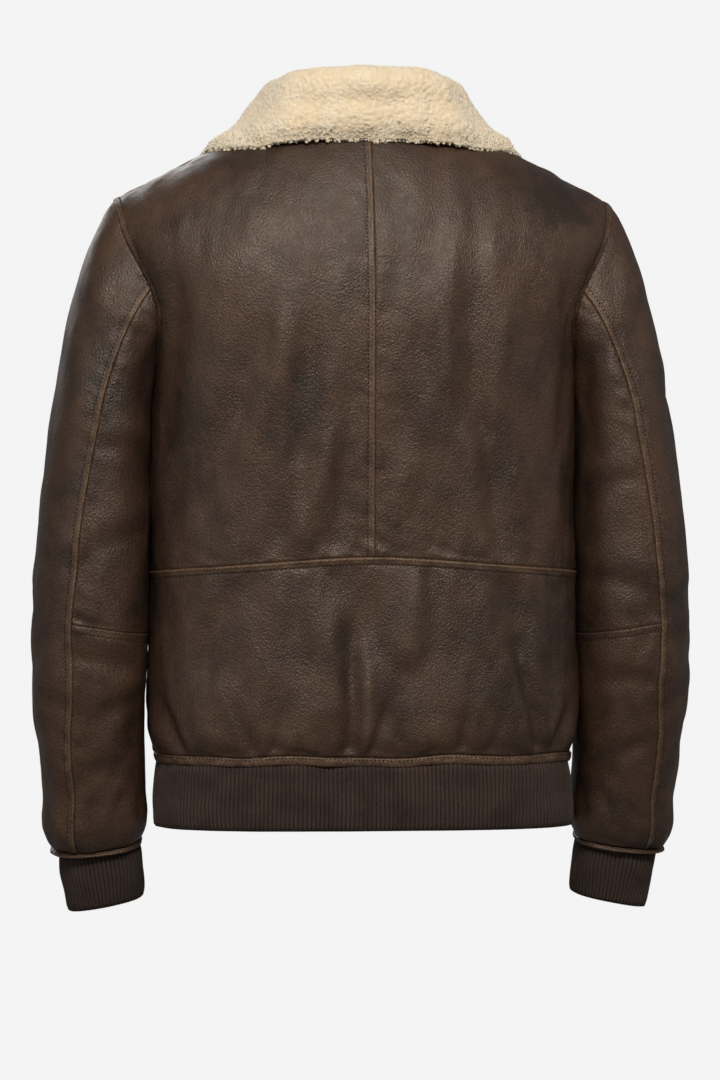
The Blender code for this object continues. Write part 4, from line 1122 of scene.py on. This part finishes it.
def make_back():
    """Two upper back panels that meet on the centre seam, and one panel below the waist seam."""
    points, found = torso_panel(waist_z, 0.0, False)
    for side, word in SIDE_WORDS:
        placed, facing = mirror(points, side), mirror(found, side)
        depth = folds_at(placed, BACK_FOLDS) * (0.35 + 0.65 * ease(walked(placed, 0), 0.0, 0.014))
        depth = depth * (0.25 + 0.50 * ease(walked(placed, 1, True), 0.0, 0.014))
        lap, sewn = ("lap", ("low_column", "high_column")) if side > 0 else ("under", ("high_column",))
        seams = {"low_column": lap, "low_row": "under", "high_column": "lap", "high_row": "under"}
        make_panel(f"back_{word}", placed, facing, seams, depth, sewn, side_swell(placed))
    ring = lambda angle: belt(angle, np.full_like(angle, -0.48))[0]
    fine, walk = walk_round(ring, -90.0, 90.0)
    angles = np.interp(refined(walk[-1]) * walk[-1], walk, fine)
    angle, s = np.meshgrid(angles, refined(WAIST_Z - STRIP_TOP_Z))
    z = STRIP_TOP_Z + (waist_z(np.abs(angle)) - STRIP_TOP_Z) * s
    points, _ = belt(angle, z)
    found = torso_normals(np.abs(angle), z, np.zeros_like(z), False)
    found[..., 0] *= np.where(angle < 0.0, -1.0, 1.0)
    depth = folds_at(points, BACK_FOLDS) * (0.30 + 0.70 * ease(walked(points, 0), 0.0, 0.008))
    depth = depth * (0.35 + 0.65 * ease(walked(points, 0, True), 0.0, 0.014))
    seams = {"high_row": "lap", "low_row": "under", "low_column": "under", "high_column": "under"}
    make_panel("back_waist", points, found, seams, depth, ("high_row",), side_swell(points))


def make_front():
    """Two front panels, with their edges turned in along the zip."""
    points, found = torso_panel(lambda angle: np.full_like(angle, STRIP_TOP_Z), ZIP_EDGE_ANGLE, True)
    seams = {"low_column": "lap", "high_column": "under", "low_row": "under", "high_row": "lap"}
    for side, word in SIDE_WORDS:
        placed, facing = mirror(points, side), mirror(found, side)
        near = ease(walked(placed, 1), 0.006, 0.030) * ease(walked(placed, 1, True), 0.0, 0.015)
        depth = folds_at(placed, FRONT_FOLDS) * near
        make_panel(f"front_{word}", placed, facing, seams, depth, ("low_column", "high_row"),
                   side_swell(placed))


def ribs(name, rib_count, ring, low_z, high_z, closed, ends, outward_of):
    """A knitted band: rounded ribs that pull in at their sewn end."""
    angles = even_angles(lambda a: ring(a, np.full_like(a, low_z)), rib_count * RIB_COLUMNS + 1, ends)
    if closed:
        angles = angles[:-1]
    s = np.linspace(0.0, 1.0, RIB_ROWS)
    angle, z = np.meshgrid(angles, low_z + (high_z - low_z) * s)
    low, high = ring(angle[:1], z[:1]), ring(angle[-1:], z[-1:])
    points = low + (high - low) * s[:, None, None]
    facing = outward_of(angle, z, points)
    phase = np.arange(len(angles)) % RIB_COLUMNS / RIB_COLUMNS
    wander = 0.06 * waves(points, 0.030, SEED + 6)
    swell = np.abs(np.cos(np.pi * (phase[None, :] + wander))) ** 0.6
    rows = walked(points, 0)
    top = walked(points, 0, True)
    inward = 1.0 - np.clip(rows / RIB_EDGE_REACH, 0.0, 1.0)
    edge = RIB_EDGE_FALL * (1.0 - np.sqrt(np.clip(1.0 - inward**2, 0.0, 1.0)))
    bulge = KNIT_BULGE * np.sin(np.pi * np.clip(top / 0.05, 0.0, 1.0))
    bulge += 0.0005 * waves(points, 0.035, SEED + 7)
    outer = wavering(points + facing * (RIB_DEPTH * (swell - 1.0) + bulge - edge)[..., None])
    inner = points + facing * (bulge - KNIT_SHELL + 0.3 * edge)[..., None]
    inner = wavering(inset(inner, ("high_row",), -LAP_UNDER))
    # The ribs' swell, which the knit's finish turns into painted shade in the grooves
    marks = (("rib", np.broadcast_to(swell, points.shape[:2])),)
    dress(shell(f"{name}_cloth", outer, inner, closed, marks), name, knit, measure(points))


def make_hem():
    """A leather strip and a ribbed knit band, both open at the zip."""
    reach = 180.0 - ZIP_EDGE_ANGLE
    ring = lambda angle, z: belt(angle, z)[0]
    angles = even_angles(lambda a: ring(a, np.full_like(a, HEM_Z)), STRIP_COLUMNS, (reach, -reach))
    s = np.linspace(0.0, 1.0, STRIP_ROWS)
    angle, z = np.meshgrid(angles, STRIP_BOTTOM_Z + (STRIP_TOP_Z - STRIP_BOTTOM_Z) * s)
    points, found = belt(angle, z)
    across = np.clip((z - STRIP_BOTTOM_Z) / (STRIP_TOP_Z - STRIP_BOTTOM_Z), 0.0, 1.0)
    lift = STRIP_RISE * np.sin(np.pi * across).clip(0.0) ** 0.5
    lift += 0.0003 * waves(points, 0.030, SEED + 8) + 0.00022 * waves(points, 0.008, SEED + 9)
    seams = ("low_row", "high_row")
    outer = wavering(inset(points + found * lift[..., None], seams))
    inner = wavering(inset(points - found * STRIP_SHELL, seams, -LAP_UNDER))
    wear = 0.45 + 0.45 * np.clip(lift / STRIP_RISE, 0.0, 1.0)
    sew(outer, found, "high_row", STRIP_STITCH_INSET)
    dress(shell("hem_strip_cloth", outer, inner, False, (("wear", wear),)), "hem_strip", leather,
          measure(points))
    ribs("hem_rib", HEM_RIBS, ring, HEM_Z, STRIP_BOTTOM_Z - SEAM_GAP / 2.0, False, (reach, -reach),
         lambda angle, z, points: belt(angle, z)[1])


def make_sleeves():
    """Top sleeve and a two-piece under sleeve, cut at the elbow."""
    under = dict.fromkeys(SIDES, "under")
    cap = -refined(0.17, False, True)[::-1]
    upper = np.concatenate([cap[:-1], refined(0.165, False, True)])
    lower = refined(0.205, True, True)
    length = BICEP_Z - SLEEVE_END_Z
    ends = 1.0 - np.array(SEAM_STEPS)[::-1] / length
    t_top = np.concatenate([cap[:-1], np.linspace(0.0, 1.0, int(length / GRID_STEP))])
    t_top = np.concatenate([t_top[t_top < ends[0] - 0.004], ends])
    across = refined(0.150)
    for side, word in SIDE_WORDS:
        c, t = np.meshgrid(np.mod(3.0 + 2.0 * across, 4.0), t_top)
        build_sleeve(f"sleeve_top_{word}", c, t, side, {**under, "high_column": "lap"}, ("high_column",))
        c, s = np.meshgrid(1.0 + 2.0 * across, upper)
        build_sleeve(f"sleeve_under_upper_{word}", c, np.where(s < 0.0, s, s * elbow_t(c)), side, under, ())
        c, s = np.meshgrid(1.0 + 2.0 * across, lower)
        t = elbow_t(c) + (1.0 - elbow_t(c)) * s
        build_sleeve(f"sleeve_under_lower_{word}", c, t, side, {**under, "low_row": "low lap"}, ("low_row",))


def build_sleeve(name, c, t, side, seams, sewn):
    """One sleeve piece from its columns and rows, with the folds of its side."""
    points = sleeve(c, t)
    z = points[..., 2]
    angle = column_angle(c, np.clip(z, SLEEVE_END_Z, BICEP_Z))
    placed, facing = mirror(points, side), mirror(sleeve_normals(c, t), side)
    calm = ease(walked(placed, 0), 0.0, 0.016) * ease(walked(placed, 0, True), -0.004, 0.010)
    depth = sleeve_folds_at(angle, z, side) * calm
    inward = np.exp(-(((angle - 180.0) / 40.0) ** 2)) * swell_height(z, SWELL_SLEEVES[side])
    make_panel(name, placed, facing, seams, depth, sewn, SIDE_SWELL * inward)


def make_cuffs():
    """A narrow leather strip and a ribbed knit cuff on each sleeve."""
    ring = lambda angle, z: tube_ring(CUFF, angle, z)
    facing = lambda angle, z, points: unit(points - points.mean(axis=1, keepdims=True))
    s = np.linspace(0.0, 1.0, 7)
    angle, z = np.meshgrid(np.arange(0.0, 360.0, 3.0), CUFF_STRIP_Z + (SLEEVE_END_Z - CUFF_STRIP_Z) * s)
    points = ring(angle, z)
    out = facing(angle, z, points)
    seams = ("low_row", "high_row")
    for side, word in SIDE_WORDS:
        lift = CUFF_STRIP_RISE * np.sin(np.pi * s)[:, None] + 0.0003 * waves(points, 0.02, SEED + 10 + side)
        outer = inset(mirror(points + out * lift[..., None], side), seams)
        inner = inset(mirror(points - out * CUFF_STRIP_SHELL, side), seams, -LAP_UNDER)
        name = f"cuff_strip_{word}"
        thing = shell(f"{name}_cloth", outer, inner, True, (("wear", np.full(angle.shape, 0.35)),))
        dress(thing, name, leather, measure(points))
        ribs(f"cuff_rib_{word}", CUFF_RIBS, lambda angle, z: mirror(ring(angle, z), side), CUFF[0].z,
             CUFF_STRIP_Z - SEAM_GAP, True, (0.0, 360.0), facing)


def pile_height(points, seed):
    """Heights of the fleece's clumps and of its curls, from 0 in a crevice to 1 on a crown."""
    noise.seed_set(seed)
    shift = Vector((seed * 3.1, seed * 1.7, seed * 2.3))
    large = np.zeros(len(points))
    small = np.zeros(len(points))
    for row, point in enumerate(points):
        at = Vector(point.tolist())
        warp = noise.noise_vector(at / WARP_SIZE + shift) * WARP_DEPTH
        big = noise.voronoi((at + warp) / CLUMP_SIZE + shift)[0]
        fine = noise.voronoi((at + warp * 0.6) / CURL_SIZE + shift)[0]
        crevice = np.exp(-((big[1] - big[0]) / 0.10) ** 2)
        large[row] = 1.0 - min(1.0, (big[0] / 0.80) ** 2) * 0.9 - 0.35 * crevice
        small[row] = 1.0 - min(1.0, (fine[0] / 0.80) ** 2)
    return large, small


def two_steps(split, counts):
    """Fractions from 0 to 1, with other steps below a split than above it."""
    return np.concatenate([np.linspace(0.0, split, counts[0])[:-1], np.linspace(split, 1.0, counts[1])])


def both_sides(grid):
    """One half of the collar and its mirror image, as one grid."""
    return np.concatenate([mirror(grid[:, :0:-1], -1), grid], axis=1)


def collar_faces(turn, w):
    """Normals of the half collar: upwards on the fold, and the same way all over."""
    step = COLLAR_STEP
    along = collar_skin(np.clip(turn + step, 0, 1), w) - collar_skin(np.clip(turn - step, 0, 1), w)
    across = collar_skin(turn, np.clip(w + step, 0, 1)) - collar_skin(turn, np.clip(w - step, 0, 1))
    along[:, 0, 1:] = 0.0
    face = unit(np.cross(along, across))
    middle = int(np.searchsorted(w[:, 0], 0.5))
    return np.where(face[middle:middle + 1, :, 2:3] < 0.0, -face, face)


def make_collar():
    """A folded collar: curly fleece on the side that shows, leather under it."""
    half = two_steps(COLLAR_COLUMN_SPLIT, COLLAR_COLUMNS)
    turn, w = np.meshgrid(half, two_steps(COLLAR_ROW_SPLIT, COLLAR_ROWS))
    skin, face = both_sides(collar_skin(turn, w)), both_sides(collar_faces(turn, w))
    for _ in range(3):
        face[1:-1] = unit(face[:-2] + 2.0 * face[1:-1] + face[2:])
    w = np.broadcast_to(w[:, :1], skin.shape[:2])
    turn = np.concatenate([half[:0:-1], half])[None, :]
    pile = FLEECE * (0.22 + 0.78 * ease(w, 0.0, 0.30)) * (1.0 - 0.40 * ease(w, 0.85, 1.0))
    pile = pile * (1.0 - 0.46 * np.exp(-(((turn - 0.46) / 0.22) ** 2)) * ease(w, 0.30, 0.55))
    large, small = (part.reshape(skin.shape[:2]) for part in pile_height(skin.reshape(-1, 3), PILE_SEED))
    curly = 0.55 + 0.25 * np.clip(waves(skin, 0.11, SEED + 20), -1.0, 1.0)
    curly += 0.45 * ease(-skin[..., 0], -0.02, 0.11) + 0.5 * ease(w, 0.80, 0.98)
    curly = np.clip(curly, 0.3, 1.3)
    height = (large - 0.9) * CLUMP_DEPTH * curly + (small - 0.6) * CURL_DEPTH * curly
    height += 0.0006 * waves(skin, 0.036, SEED + 21)
    pile = np.maximum(pile + height * (0.35 + 0.65 * ease(w, 0.02, 0.15)), FLEECE_THINNEST)
    outer = skin + face * pile[..., None]
    lead = unit(skin[-1] - skin[-2])
    corner = np.exp(-(((turn - 0.40) / 0.09) ** 2))
    tip = FLEECE_EDGE + 0.0006 * waves(skin[-1], 0.006, SEED + 22)
    tip = tip + 0.0007 * waves(skin[-1], 0.024, SEED + 23) + 0.0035 * corner[0]
    roll = ease(w, 0.90, 1.0)
    outer += lead[None] * (tip[None] * roll)[..., None] * (0.8 + 0.2 * small)[..., None]
    outer -= face * ((pile + 0.0018 + 0.0022 * corner) * roll**2.2)[..., None]
    base = skin + face * SEAM_GAP
    base[-1] += lead * FLEECE_EDGE * 0.35 - face[-1] * 0.0010
    columns = skin.shape[1]
    ends_in = 0.0035 * (1.0 - both_ends(skin, 1, 0.0, 0.012))
    inward = np.where(np.arange(columns) < columns // 2, 1.0, -1.0)
    outer += unit(np.gradient(skin, axis=1)) * (ends_in * inward)[..., None]
    # crown is high on the clumps and low in their crevices, where the finish paints shade
    crown = np.clip(0.55 * large + 0.45 * small, 0.0, 1.0)
    thing = shell("collar_fleece_cloth", outer, base, False, (("crown", crown),))
    curls = make_curls(outer, w, curly)
    dress(thing, "collar_fleece", fleece, measure(skin))
    take = np.unique(np.linspace(0, columns - 1, columns // 2).astype(int))
    skin, face = skin[::2, take], face[::2, take]
    marks = (("wear", np.full(skin.shape[:2], 0.2)),)
    top, below = skin - face * SEAM_GAP * 2.0, skin - face * UNDER_COLLAR
    under = shell("under_collar_cloth", top, below, False, marks)
    dress(under, "under_collar", leather, measure(skin))


def make_curls(outer, w, curly):
    """Small uneven curls on the outer part of the fleece, closest at its lower edge, in one mesh."""
    rng = np.random.default_rng(SEED + 30)
    cross = np.cross(np.gradient(outer, axis=1), np.gradient(outer, axis=0))
    place = w.ravel()
    rim = ease(place, 0.86, 0.95)
    share = np.linalg.norm(cross, axis=-1).ravel() * ease(place, 0.58, 0.72) * (0.35 + 1.4 * rim)
    pick = rng.choice(outer.shape[0] * outer.shape[1], CURLS, p=share / share.sum())
    at = outer.reshape(-1, 3)[pick]
    facing = unit(cross)
    for _ in range(6):
        facing[1:-1] = unit(facing[:-2] + facing[1:-1] + facing[2:])
        facing[:, 1:-1] = unit(facing[:, :-2] + facing[:, 1:-1] + facing[:, 2:])
    up = facing.reshape(-1, 3)[pick]
    sign = np.sign(np.einsum("ij,ij->i", up, face_hint(outer).reshape(-1, 3)[pick]))
    up = up * np.where(sign == 0.0, 1.0, sign)[:, None]
    side = unit(np.cross(up, rng.normal(size=(CURLS, 3))))
    radius = rng.uniform(*CURL_RADIUS, CURLS) * (0.85 + 0.20 * curly.ravel()[pick])
    middle = at + up * (radius * (rng.uniform(-0.90, -0.50, CURLS) + 0.15 * rim[pick]))[:, None]
    tilt = unit(up + 0.8 * rng.normal(size=(CURLS, 3)))
    side = unit(side - tilt * np.einsum("ij,ij->i", side, tilt)[:, None])
    other = np.cross(tilt, side)
    long, tall = rng.uniform(0.9, 1.35, CURLS), rng.uniform(0.7, 1.0, CURLS)
    ways = ((long, side), (1.0 / long, other), (tall, tilt))
    reach = [(radius * scale)[:, None] * way for scale, way in ways]
    points = np.stack([middle + sign * way for way in reach for sign in (1.0, -1.0)], axis=1)
    one = np.array([[0, 2, 4], [2, 1, 4], [1, 3, 4], [3, 0, 4], [2, 0, 5], [1, 2, 5], [3, 1, 5], [0, 3, 5]])
    each = points.shape[1]
    tint = np.repeat(rng.uniform(0.15, 0.9, CURLS), each)
    curls = mesh_object("collar_curls", points.reshape(-1, 3), copies(one, CURLS, each), (("crown", tint),))
    clad(curls, fleece)
    return curls


def face_hint(outer):
    """Rough outward directions of the collar: away from the neck's axis and upwards."""
    inward = ease(np.arange(outer.shape[0]) / outer.shape[0], 0.36, 0.52)[:, None, None]
    return outer * LEVEL * (2.0 * inward - 1.0) + 0.06 * UP


def make_tapes():
    """Two woven tapes, from the hem to the neck seam."""
    depth = LEATHER + 2.0 * SEAM_GAP
    far = CHAIN_HALF_WIDTH + SEAM_GAP + TAPE_WIDTH
    x, z = np.meshgrid(np.linspace(TAPE_EDGE, far, 11), np.linspace(HEM_Z, NECK_FRONT_Z - 0.004, 160))
    points, found = chest_line(x, z)
    for side, word in SIDE_WORDS:
        outer, inner = (mirror(points - found * deep, side) for deep in (depth, depth + TAPE_THICK))
        name = f"zip_tape_{word}"
        dress(shell(f"{name}_cloth", outer, inner), name, tape, measure(points))


def make_zip():
    """The rows of teeth between the tapes; slider and pull are the solids'."""
    make_tapes()
    z = np.arange(HEM_Z + 0.002, NECK_FRONT_Z - 0.006, TOOTH_PITCH / 2.0)
    middle, way = chest_line(np.zeros_like(z), z)
    hand = np.where(np.arange(len(z)) % 2 == 0, 1.0, -1.0)[:, None]
    along = np.array([1.0, 0.0, 0.0])
    down = np.cross(way, along)
    base = middle - way * TOOTH_SUNK
    outline = ((-0.0009, 0.55, 0.8), (-0.0002, 0.85, 1.0), (0.0020, 0.80, 1.0), (CHAIN_HALF_WIDTH, 0.6, 0.85))
    corners = ((-1, -1), (1, -1), (1, 1), (-1, 1))
    points = np.zeros((len(z), len(outline), len(corners), 3))
    for ring, (reach, tall, thick) in enumerate(outline):
        for k, (a, b) in enumerate(corners):
            offset = along * hand * reach + way * (a * TOOTH_DEEP * thick) + down * (b * TOOTH_HALF * tall)
            points[:, ring, k] = base + offset
    faces = copies(capped(len(outline), len(corners)), len(z), len(outline) * len(corners))
    faces = faces.reshape(len(z), -1, 4)
    faces[1::2] = faces[1::2, :, ::-1]
    teeth = mesh_object("zip_teeth", points.reshape(-1, 3), faces.reshape(-1, 4))
    clad(teeth, metal)
    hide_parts("zip_chain")
    for node in ("zip_slider", "zip_pull"):
        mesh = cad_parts[node].data
        mesh.materials.clear()
        mesh.materials.append(metal)


class Finish:
    """A procedural material that is built node by node. Sizes are in metres."""

    def __init__(self, name):
        self.material = bpy.data.materials.new(name)
        self.material.use_nodes = True
        self.tree = self.material.node_tree
        self.tree.nodes.clear()
        self.out = self.tree.nodes.new("ShaderNodeOutputMaterial")
        self.shader = self.tree.nodes.new("ShaderNodeBsdfPrincipled")
        self.tree.links.new(self.shader.outputs["BSDF"], self.out.inputs["Surface"])
        self.where = self.tree.nodes.new("ShaderNodeTexCoord").outputs["Object"]

    def link(self, value, socket):
        if isinstance(value, bpy.types.NodeSocket):
            self.tree.links.new(value, socket)
        else:
            socket.default_value = value

    def noise(self, size, detail=3.0, rough=0.55, stretch=None, warp=0.0):
        node = self.tree.nodes.new("ShaderNodeTexNoise")
        node.inputs["Scale"].default_value = 1.0 / size
        node.inputs["Detail"].default_value = detail
        node.inputs["Roughness"].default_value = rough
        node.inputs["Distortion"].default_value = warp
        self.link(self.scaled(stretch), node.inputs["Vector"])
        return node.outputs["Fac"]

    def scaled(self, stretch):
        if stretch is None:
            return self.where
        node = self.tree.nodes.new("ShaderNodeMapping")
        self.link(self.where, node.inputs["Vector"])
        node.inputs["Scale"].default_value = stretch
        return node.outputs["Vector"]

    def cells(self, size, stretch=None):
        node = self.tree.nodes.new("ShaderNodeTexVoronoi")
        node.feature = "SMOOTH_F1"
        node.inputs["Scale"].default_value = 1.0 / size
        self.link(self.scaled(stretch), node.inputs["Vector"])
        return node.outputs["Distance"]

    def attribute(self, name):
        node = self.tree.nodes.new("ShaderNodeAttribute")
        node.attribute_name = name
        return node.outputs["Fac"]

    def maths(self, operation, a, b):
        node = self.tree.nodes.new("ShaderNodeMath")
        node.operation = operation
        for value, socket in zip((a, b), node.inputs):
            self.link(value, socket)
        return node.outputs[0]

    def spread(self, value, low, high, to_low=0.0, to_high=1.0):
        node = self.tree.nodes.new("ShaderNodeMapRange")
        node.interpolation_type = "SMOOTHSTEP"
        keys = ("Value", "From Min", "From Max", "To Min", "To Max")
        for key, number in zip(keys, (value, low, high, to_low, to_high)):
            self.link(number, node.inputs[key])
        return node.outputs["Result"]

    def mix(self, share, a, b):
        node = self.tree.nodes.new("ShaderNodeMix")
        node.data_type = "RGBA"
        self.link(share, node.inputs["Factor"])
        for value, key in ((a, 6), (b, 7)):
            self.link(value if isinstance(value, bpy.types.NodeSocket) else (*value, 1.0), node.inputs[key])
        return node.outputs[2]

    def bump(self, height, distance, strength=1.0, under=None):
        node = self.tree.nodes.new("ShaderNodeBump")
        node.inputs["Distance"].default_value = distance
        node.inputs["Strength"].default_value = strength
        self.link(height, node.inputs["Height"])
        if under is not None:
            self.link(under, node.inputs["Normal"])
        return node.outputs["Normal"]

    def set(self, **values):
        for key, value in values.items():
            socket = self.shader.inputs[key.replace("_", " ")]
            if isinstance(value, tuple) and len(value) == 3 and socket.type == "RGBA":
                value = (*value, 1.0)
            self.link(value, socket)
        return self.material


def leather_finish():
    """Worn smooth leather: mottled brown, pebbled, polished on raised parts and tan at the seams, with
    painted shade between the pebbles and patches of painted shade and painted highlight.
    """
    f = Finish("leather")
    patch = f.spread(f.noise(PATCH_SIZE, 4.0, 0.6, warp=0.6), 0.36, 0.66)
    cloud = f.spread(f.noise(CLOUD_SIZE, 5.0, 0.66, stretch=(1.0, 1.0, 0.7), warp=0.5), 0.40, 0.70)
    speck = f.noise(SPECK_SIZE, 4.0, 0.72)
    stain_and_light = f.maths("ADD", f.attribute("stain_and_light"), f.spread(f.noise(0.016, 4.0, 0.65), 0.3, 0.7, -0.25, 0.25))
    tone = f.mix(patch, LEATHER_SHADE, LEATHER_BASE)
    tone = f.mix(f.maths("MULTIPLY", cloud, 0.45), tone, LEATHER_WARM_AND_HIGHLIGHT)
    # Darker patches: real stains, and painted shade low on the back
    tone = f.mix(f.spread(stain_and_light, 0.10, 0.90, 0.0, 0.80), tone, LEATHER_DARK_AND_SHADE)
    # Warmer patches: painted highlight on the right shoulder blade and the middle of the back, and warmer
    # patches of the leather
    tone = f.mix(f.spread(stain_and_light, -0.05, -0.70, 0.0, 0.55), tone, LEATHER_WARM_AND_HIGHLIGHT)
    tone = f.mix(f.spread(speck, 0.54, 0.74, 0.0, 0.35), tone, LEATHER_DARK_AND_SHADE)
    rub = f.maths("MULTIPLY", f.attribute("wear"), f.spread(f.noise(0.014, 4.0, 0.7), 0.25, 0.65, 0.35, 1.0))
    tone = f.mix(f.spread(rub, 0.08, 0.90, 0.0, 0.72), tone, LEATHER_WORN)
    grain = f.cells(GRAIN_SIZE, (1.0, 1.0, 0.75))
    # The grain's crevices are painted darker: painted shade between the pebbles
    tone = f.mix(f.spread(grain, 0.30, 0.70, 0.0, 0.40), tone, LEATHER_DARK_AND_SHADE)
    pores = f.noise(PORE_SIZE, 3.0, 0.7)
    crease = f.noise(CREASE_SIZE, 4.0, 0.65, stretch=(1.0, 1.0, 0.6), warp=1.4)
    crinkle = f.noise(CRINKLE_SIZE, 5.0, 0.62, warp=1.2)
    normal = f.bump(crinkle, 0.0012, 0.14)
    normal = f.bump(crease, 0.0006, 0.12, normal)
    normal = f.bump(f.spread(grain, 0.05, 0.75, 1.0, 0.0), GRAIN_DEPTH, 0.76, normal)
    normal = f.bump(pores, 0.00020, 0.80, normal)
    rough = f.spread(f.noise(0.022, 4.0, 0.6), 0.30, 0.72, 0.40, 0.54)
    return f.set(Base_Color=tone, Roughness=rough, Normal=normal, Specular_IOR_Level=LEATHER_GLOSS,
                 Specular_Tint=LEATHER_SHINE)


def stitch_finish():
    """Dark waxed thread."""
    f = Finish("stitch_thread")
    return f.set(Base_Color=THREAD, Roughness=0.9, Normal=f.bump(f.noise(0.0006), 0.0001, 0.6))


def knit_finish():
    """Matte ribbed wool, with painted shade in the grooves."""
    f = Finish("rib_knit")
    rib = f.attribute("rib")
    # Painted shade in the ribs' grooves
    tone = f.mix(f.spread(rib, 0.18, 0.95), KNIT_DARK_AND_SHADE, KNIT_BASE)
    tone = f.mix(f.spread(f.noise(0.0016, 2.0, 0.7), 0.4, 0.7, 0.0, 0.5), tone, KNIT_LIGHT)
    tone = f.mix(f.spread(f.noise(0.030, 3.0), 0.4, 0.7, 0.0, 0.35), tone, KNIT_DARK_AND_SHADE)
    loops = f.noise(LOOP_SIZE, 2.0, 0.5, stretch=(1.0, 1.0, 0.62))
    normal = f.bump(loops, 0.0006, 0.8)
    return f.set(Base_Color=tone, Roughness=0.92, Normal=normal, Specular_IOR_Level=0.2,
                 Sheen_Weight=0.25, Sheen_Roughness=0.5, Sheen_Tint=KNIT_SHEEN)


def fleece_finish():
    """Cream curly fleece, with painted shade between the clumps and the nubs."""
    f = Finish("fleece")
    crown = f.attribute("crown")
    # Painted shade in the crevices between the clumps; on the curls, a random deeper tint
    tone = f.mix(f.spread(crown, 0.0, 0.50), FLEECE_DEEP_AND_SHADE, FLEECE_BASE)
    tone = f.mix(f.spread(f.noise(0.022, 4.0, 0.6), 0.40, 0.66, 0.0, 0.7), tone, FLEECE_LIGHT)
    nubs = f.spread(f.cells(NUB_SIZE), 0.05, 0.75, 1.0, 0.0)
    # Painted shade between the nubs
    tone = f.mix(f.spread(nubs, 0.50, 0.10, 0.0, 0.50), tone, FLEECE_DEEP_AND_SHADE)
    normal = f.bump(nubs, 0.0012, 0.60)
    normal = f.bump(f.noise(0.0012, 3.0, 0.75, warp=0.8), 0.0005, 0.30, normal)
    return f.set(Base_Color=tone, Roughness=1.0, Normal=normal, Specular_IOR_Level=0.1,
                 Subsurface_Weight=0.20, Subsurface_Scale=0.004, Subsurface_Radius=(1.0, 0.8, 0.6),
                 Sheen_Weight=0.5, Sheen_Roughness=0.6, Sheen_Tint=FLEECE_SHEEN)


def tape_finish():
    """Dark woven tape."""
    f = Finish("zip_tape")
    weave = f.maths("MULTIPLY", *(f.noise(0.0010, 1.0, 0.5, stretch) for stretch in
                                  ((1.0, 1.0, 0.4), (0.4, 1.0, 1.0))))
    return f.set(Base_Color=TAPE_WEAVE, Roughness=0.85, Normal=f.bump(weave, 0.0005, 0.8))


def metal_finish():
    """Tarnished brass."""
    f = Finish("zip_metal")
    tarnish = f.spread(f.noise(0.006, 4.0, 0.65), 0.35, 0.7)
    tone = f.mix(tarnish, METAL_BRIGHT, METAL_DULL)
    return f.set(Base_Color=tone, Metallic=1.0, Roughness=f.spread(tarnish, 0.0, 1.0, 0.28, 0.45),
                 Normal=f.bump(f.noise(0.002, 3.0), 0.0002, 0.4))


def aimed(name, data, place, aim):
    """A lamp or a camera that looks from a place at another."""
    thing = bpy.data.objects.new(name, data)
    thing.location = place
    thing.rotation_euler = (Vector(aim) - Vector(place)).to_track_quat("-Z", "Y").to_euler()
    bpy.context.scene.collection.objects.link(thing)
    return thing


def area_light(light):
    """One soft rectangular light, which the camera doesn't see."""
    lamp = bpy.data.lights.new(light.name, "AREA")
    lamp.shape = "RECTANGLE"
    lamp.size, lamp.size_y = light.size
    lamp.energy = light.power
    lamp.color = light.tint
    thing = aimed(light.name, lamp, light.place, (0.0, 0.0, light.aim_z))
    thing.visible_camera = False
    return thing


def make_backdrop():
    """A pale backdrop all round: a floor that bends up into a wall and a dome."""
    arc = np.linspace(0.0, np.pi / 2.0, 16)
    flat = WALL_RADIUS - BEND
    profile = [(FLOOR_HOLE, FLOOR_Z), (flat, FLOOR_Z)]
    profile += [(flat + BEND * np.sin(a), FLOOR_Z + BEND - BEND * np.cos(a)) for a in arc[1:]]
    profile += [(WALL_RADIUS * np.cos(a), WALL_TOP_Z + WALL_RADIUS * np.sin(a)) for a in arc[:-1]]
    turn = np.arange(64) * 2.0 * np.pi / 64
    points = np.array([[(r * np.cos(a), r * np.sin(a), z) for a in turn] for r, z in profile])
    backdrop = mesh_object("backdrop", points.reshape(-1, 3), grid_quads(len(profile), len(turn), 0, True))
    paper = Finish("backdrop_paper")
    backdrop.data.materials.append(paper.set(
        Base_Color=(0.02, 0.02, 0.02), Roughness=1.0, Specular_IOR_Level=0.0,
        Emission_Color=BACKDROP, Emission_Strength=1.0))
    backdrop.visible_diffuse = backdrop.visible_glossy = False
    return backdrop


def make_studio():
    """The backdrop, soft lights and the camera at the photo's angle."""
    scene = bpy.context.scene
    make_backdrop()
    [area_light(light) for light in LIGHTS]
    world = bpy.data.worlds.new("studio")
    world.use_nodes = True
    background = world.node_tree.nodes["Background"]
    background.inputs["Color"].default_value = WORLD_COLOUR
    background.inputs["Strength"].default_value = WORLD_STRENGTH
    scene.world = world
    turn = np.radians(CAMERA_TURN)
    camera = bpy.data.cameras.new("camera")
    camera.sensor_width = SENSOR
    camera.lens = SENSOR * CAMERA_RANGE / FRAME_HEIGHT
    place = (CAMERA_RANGE * np.sin(turn), CAMERA_RANGE * np.cos(turn), CAMERA_Z)
    scene.camera = aimed("camera", camera, place, (CAMERA_AIM_X, 0.0, CAMERA_Z))
    scene.view_settings.view_transform = "Standard"


# The finishes, then every piece
leather = leather_finish()
knit = knit_finish()
fleece = fleece_finish()
tape = tape_finish()
metal = metal_finish()
make_back()
make_front()
make_hem()
make_sleeves()
make_cuffs()
make_collar()
make_zip()
make_stitches()
make_studio()
bpy.context.view_layer.update()
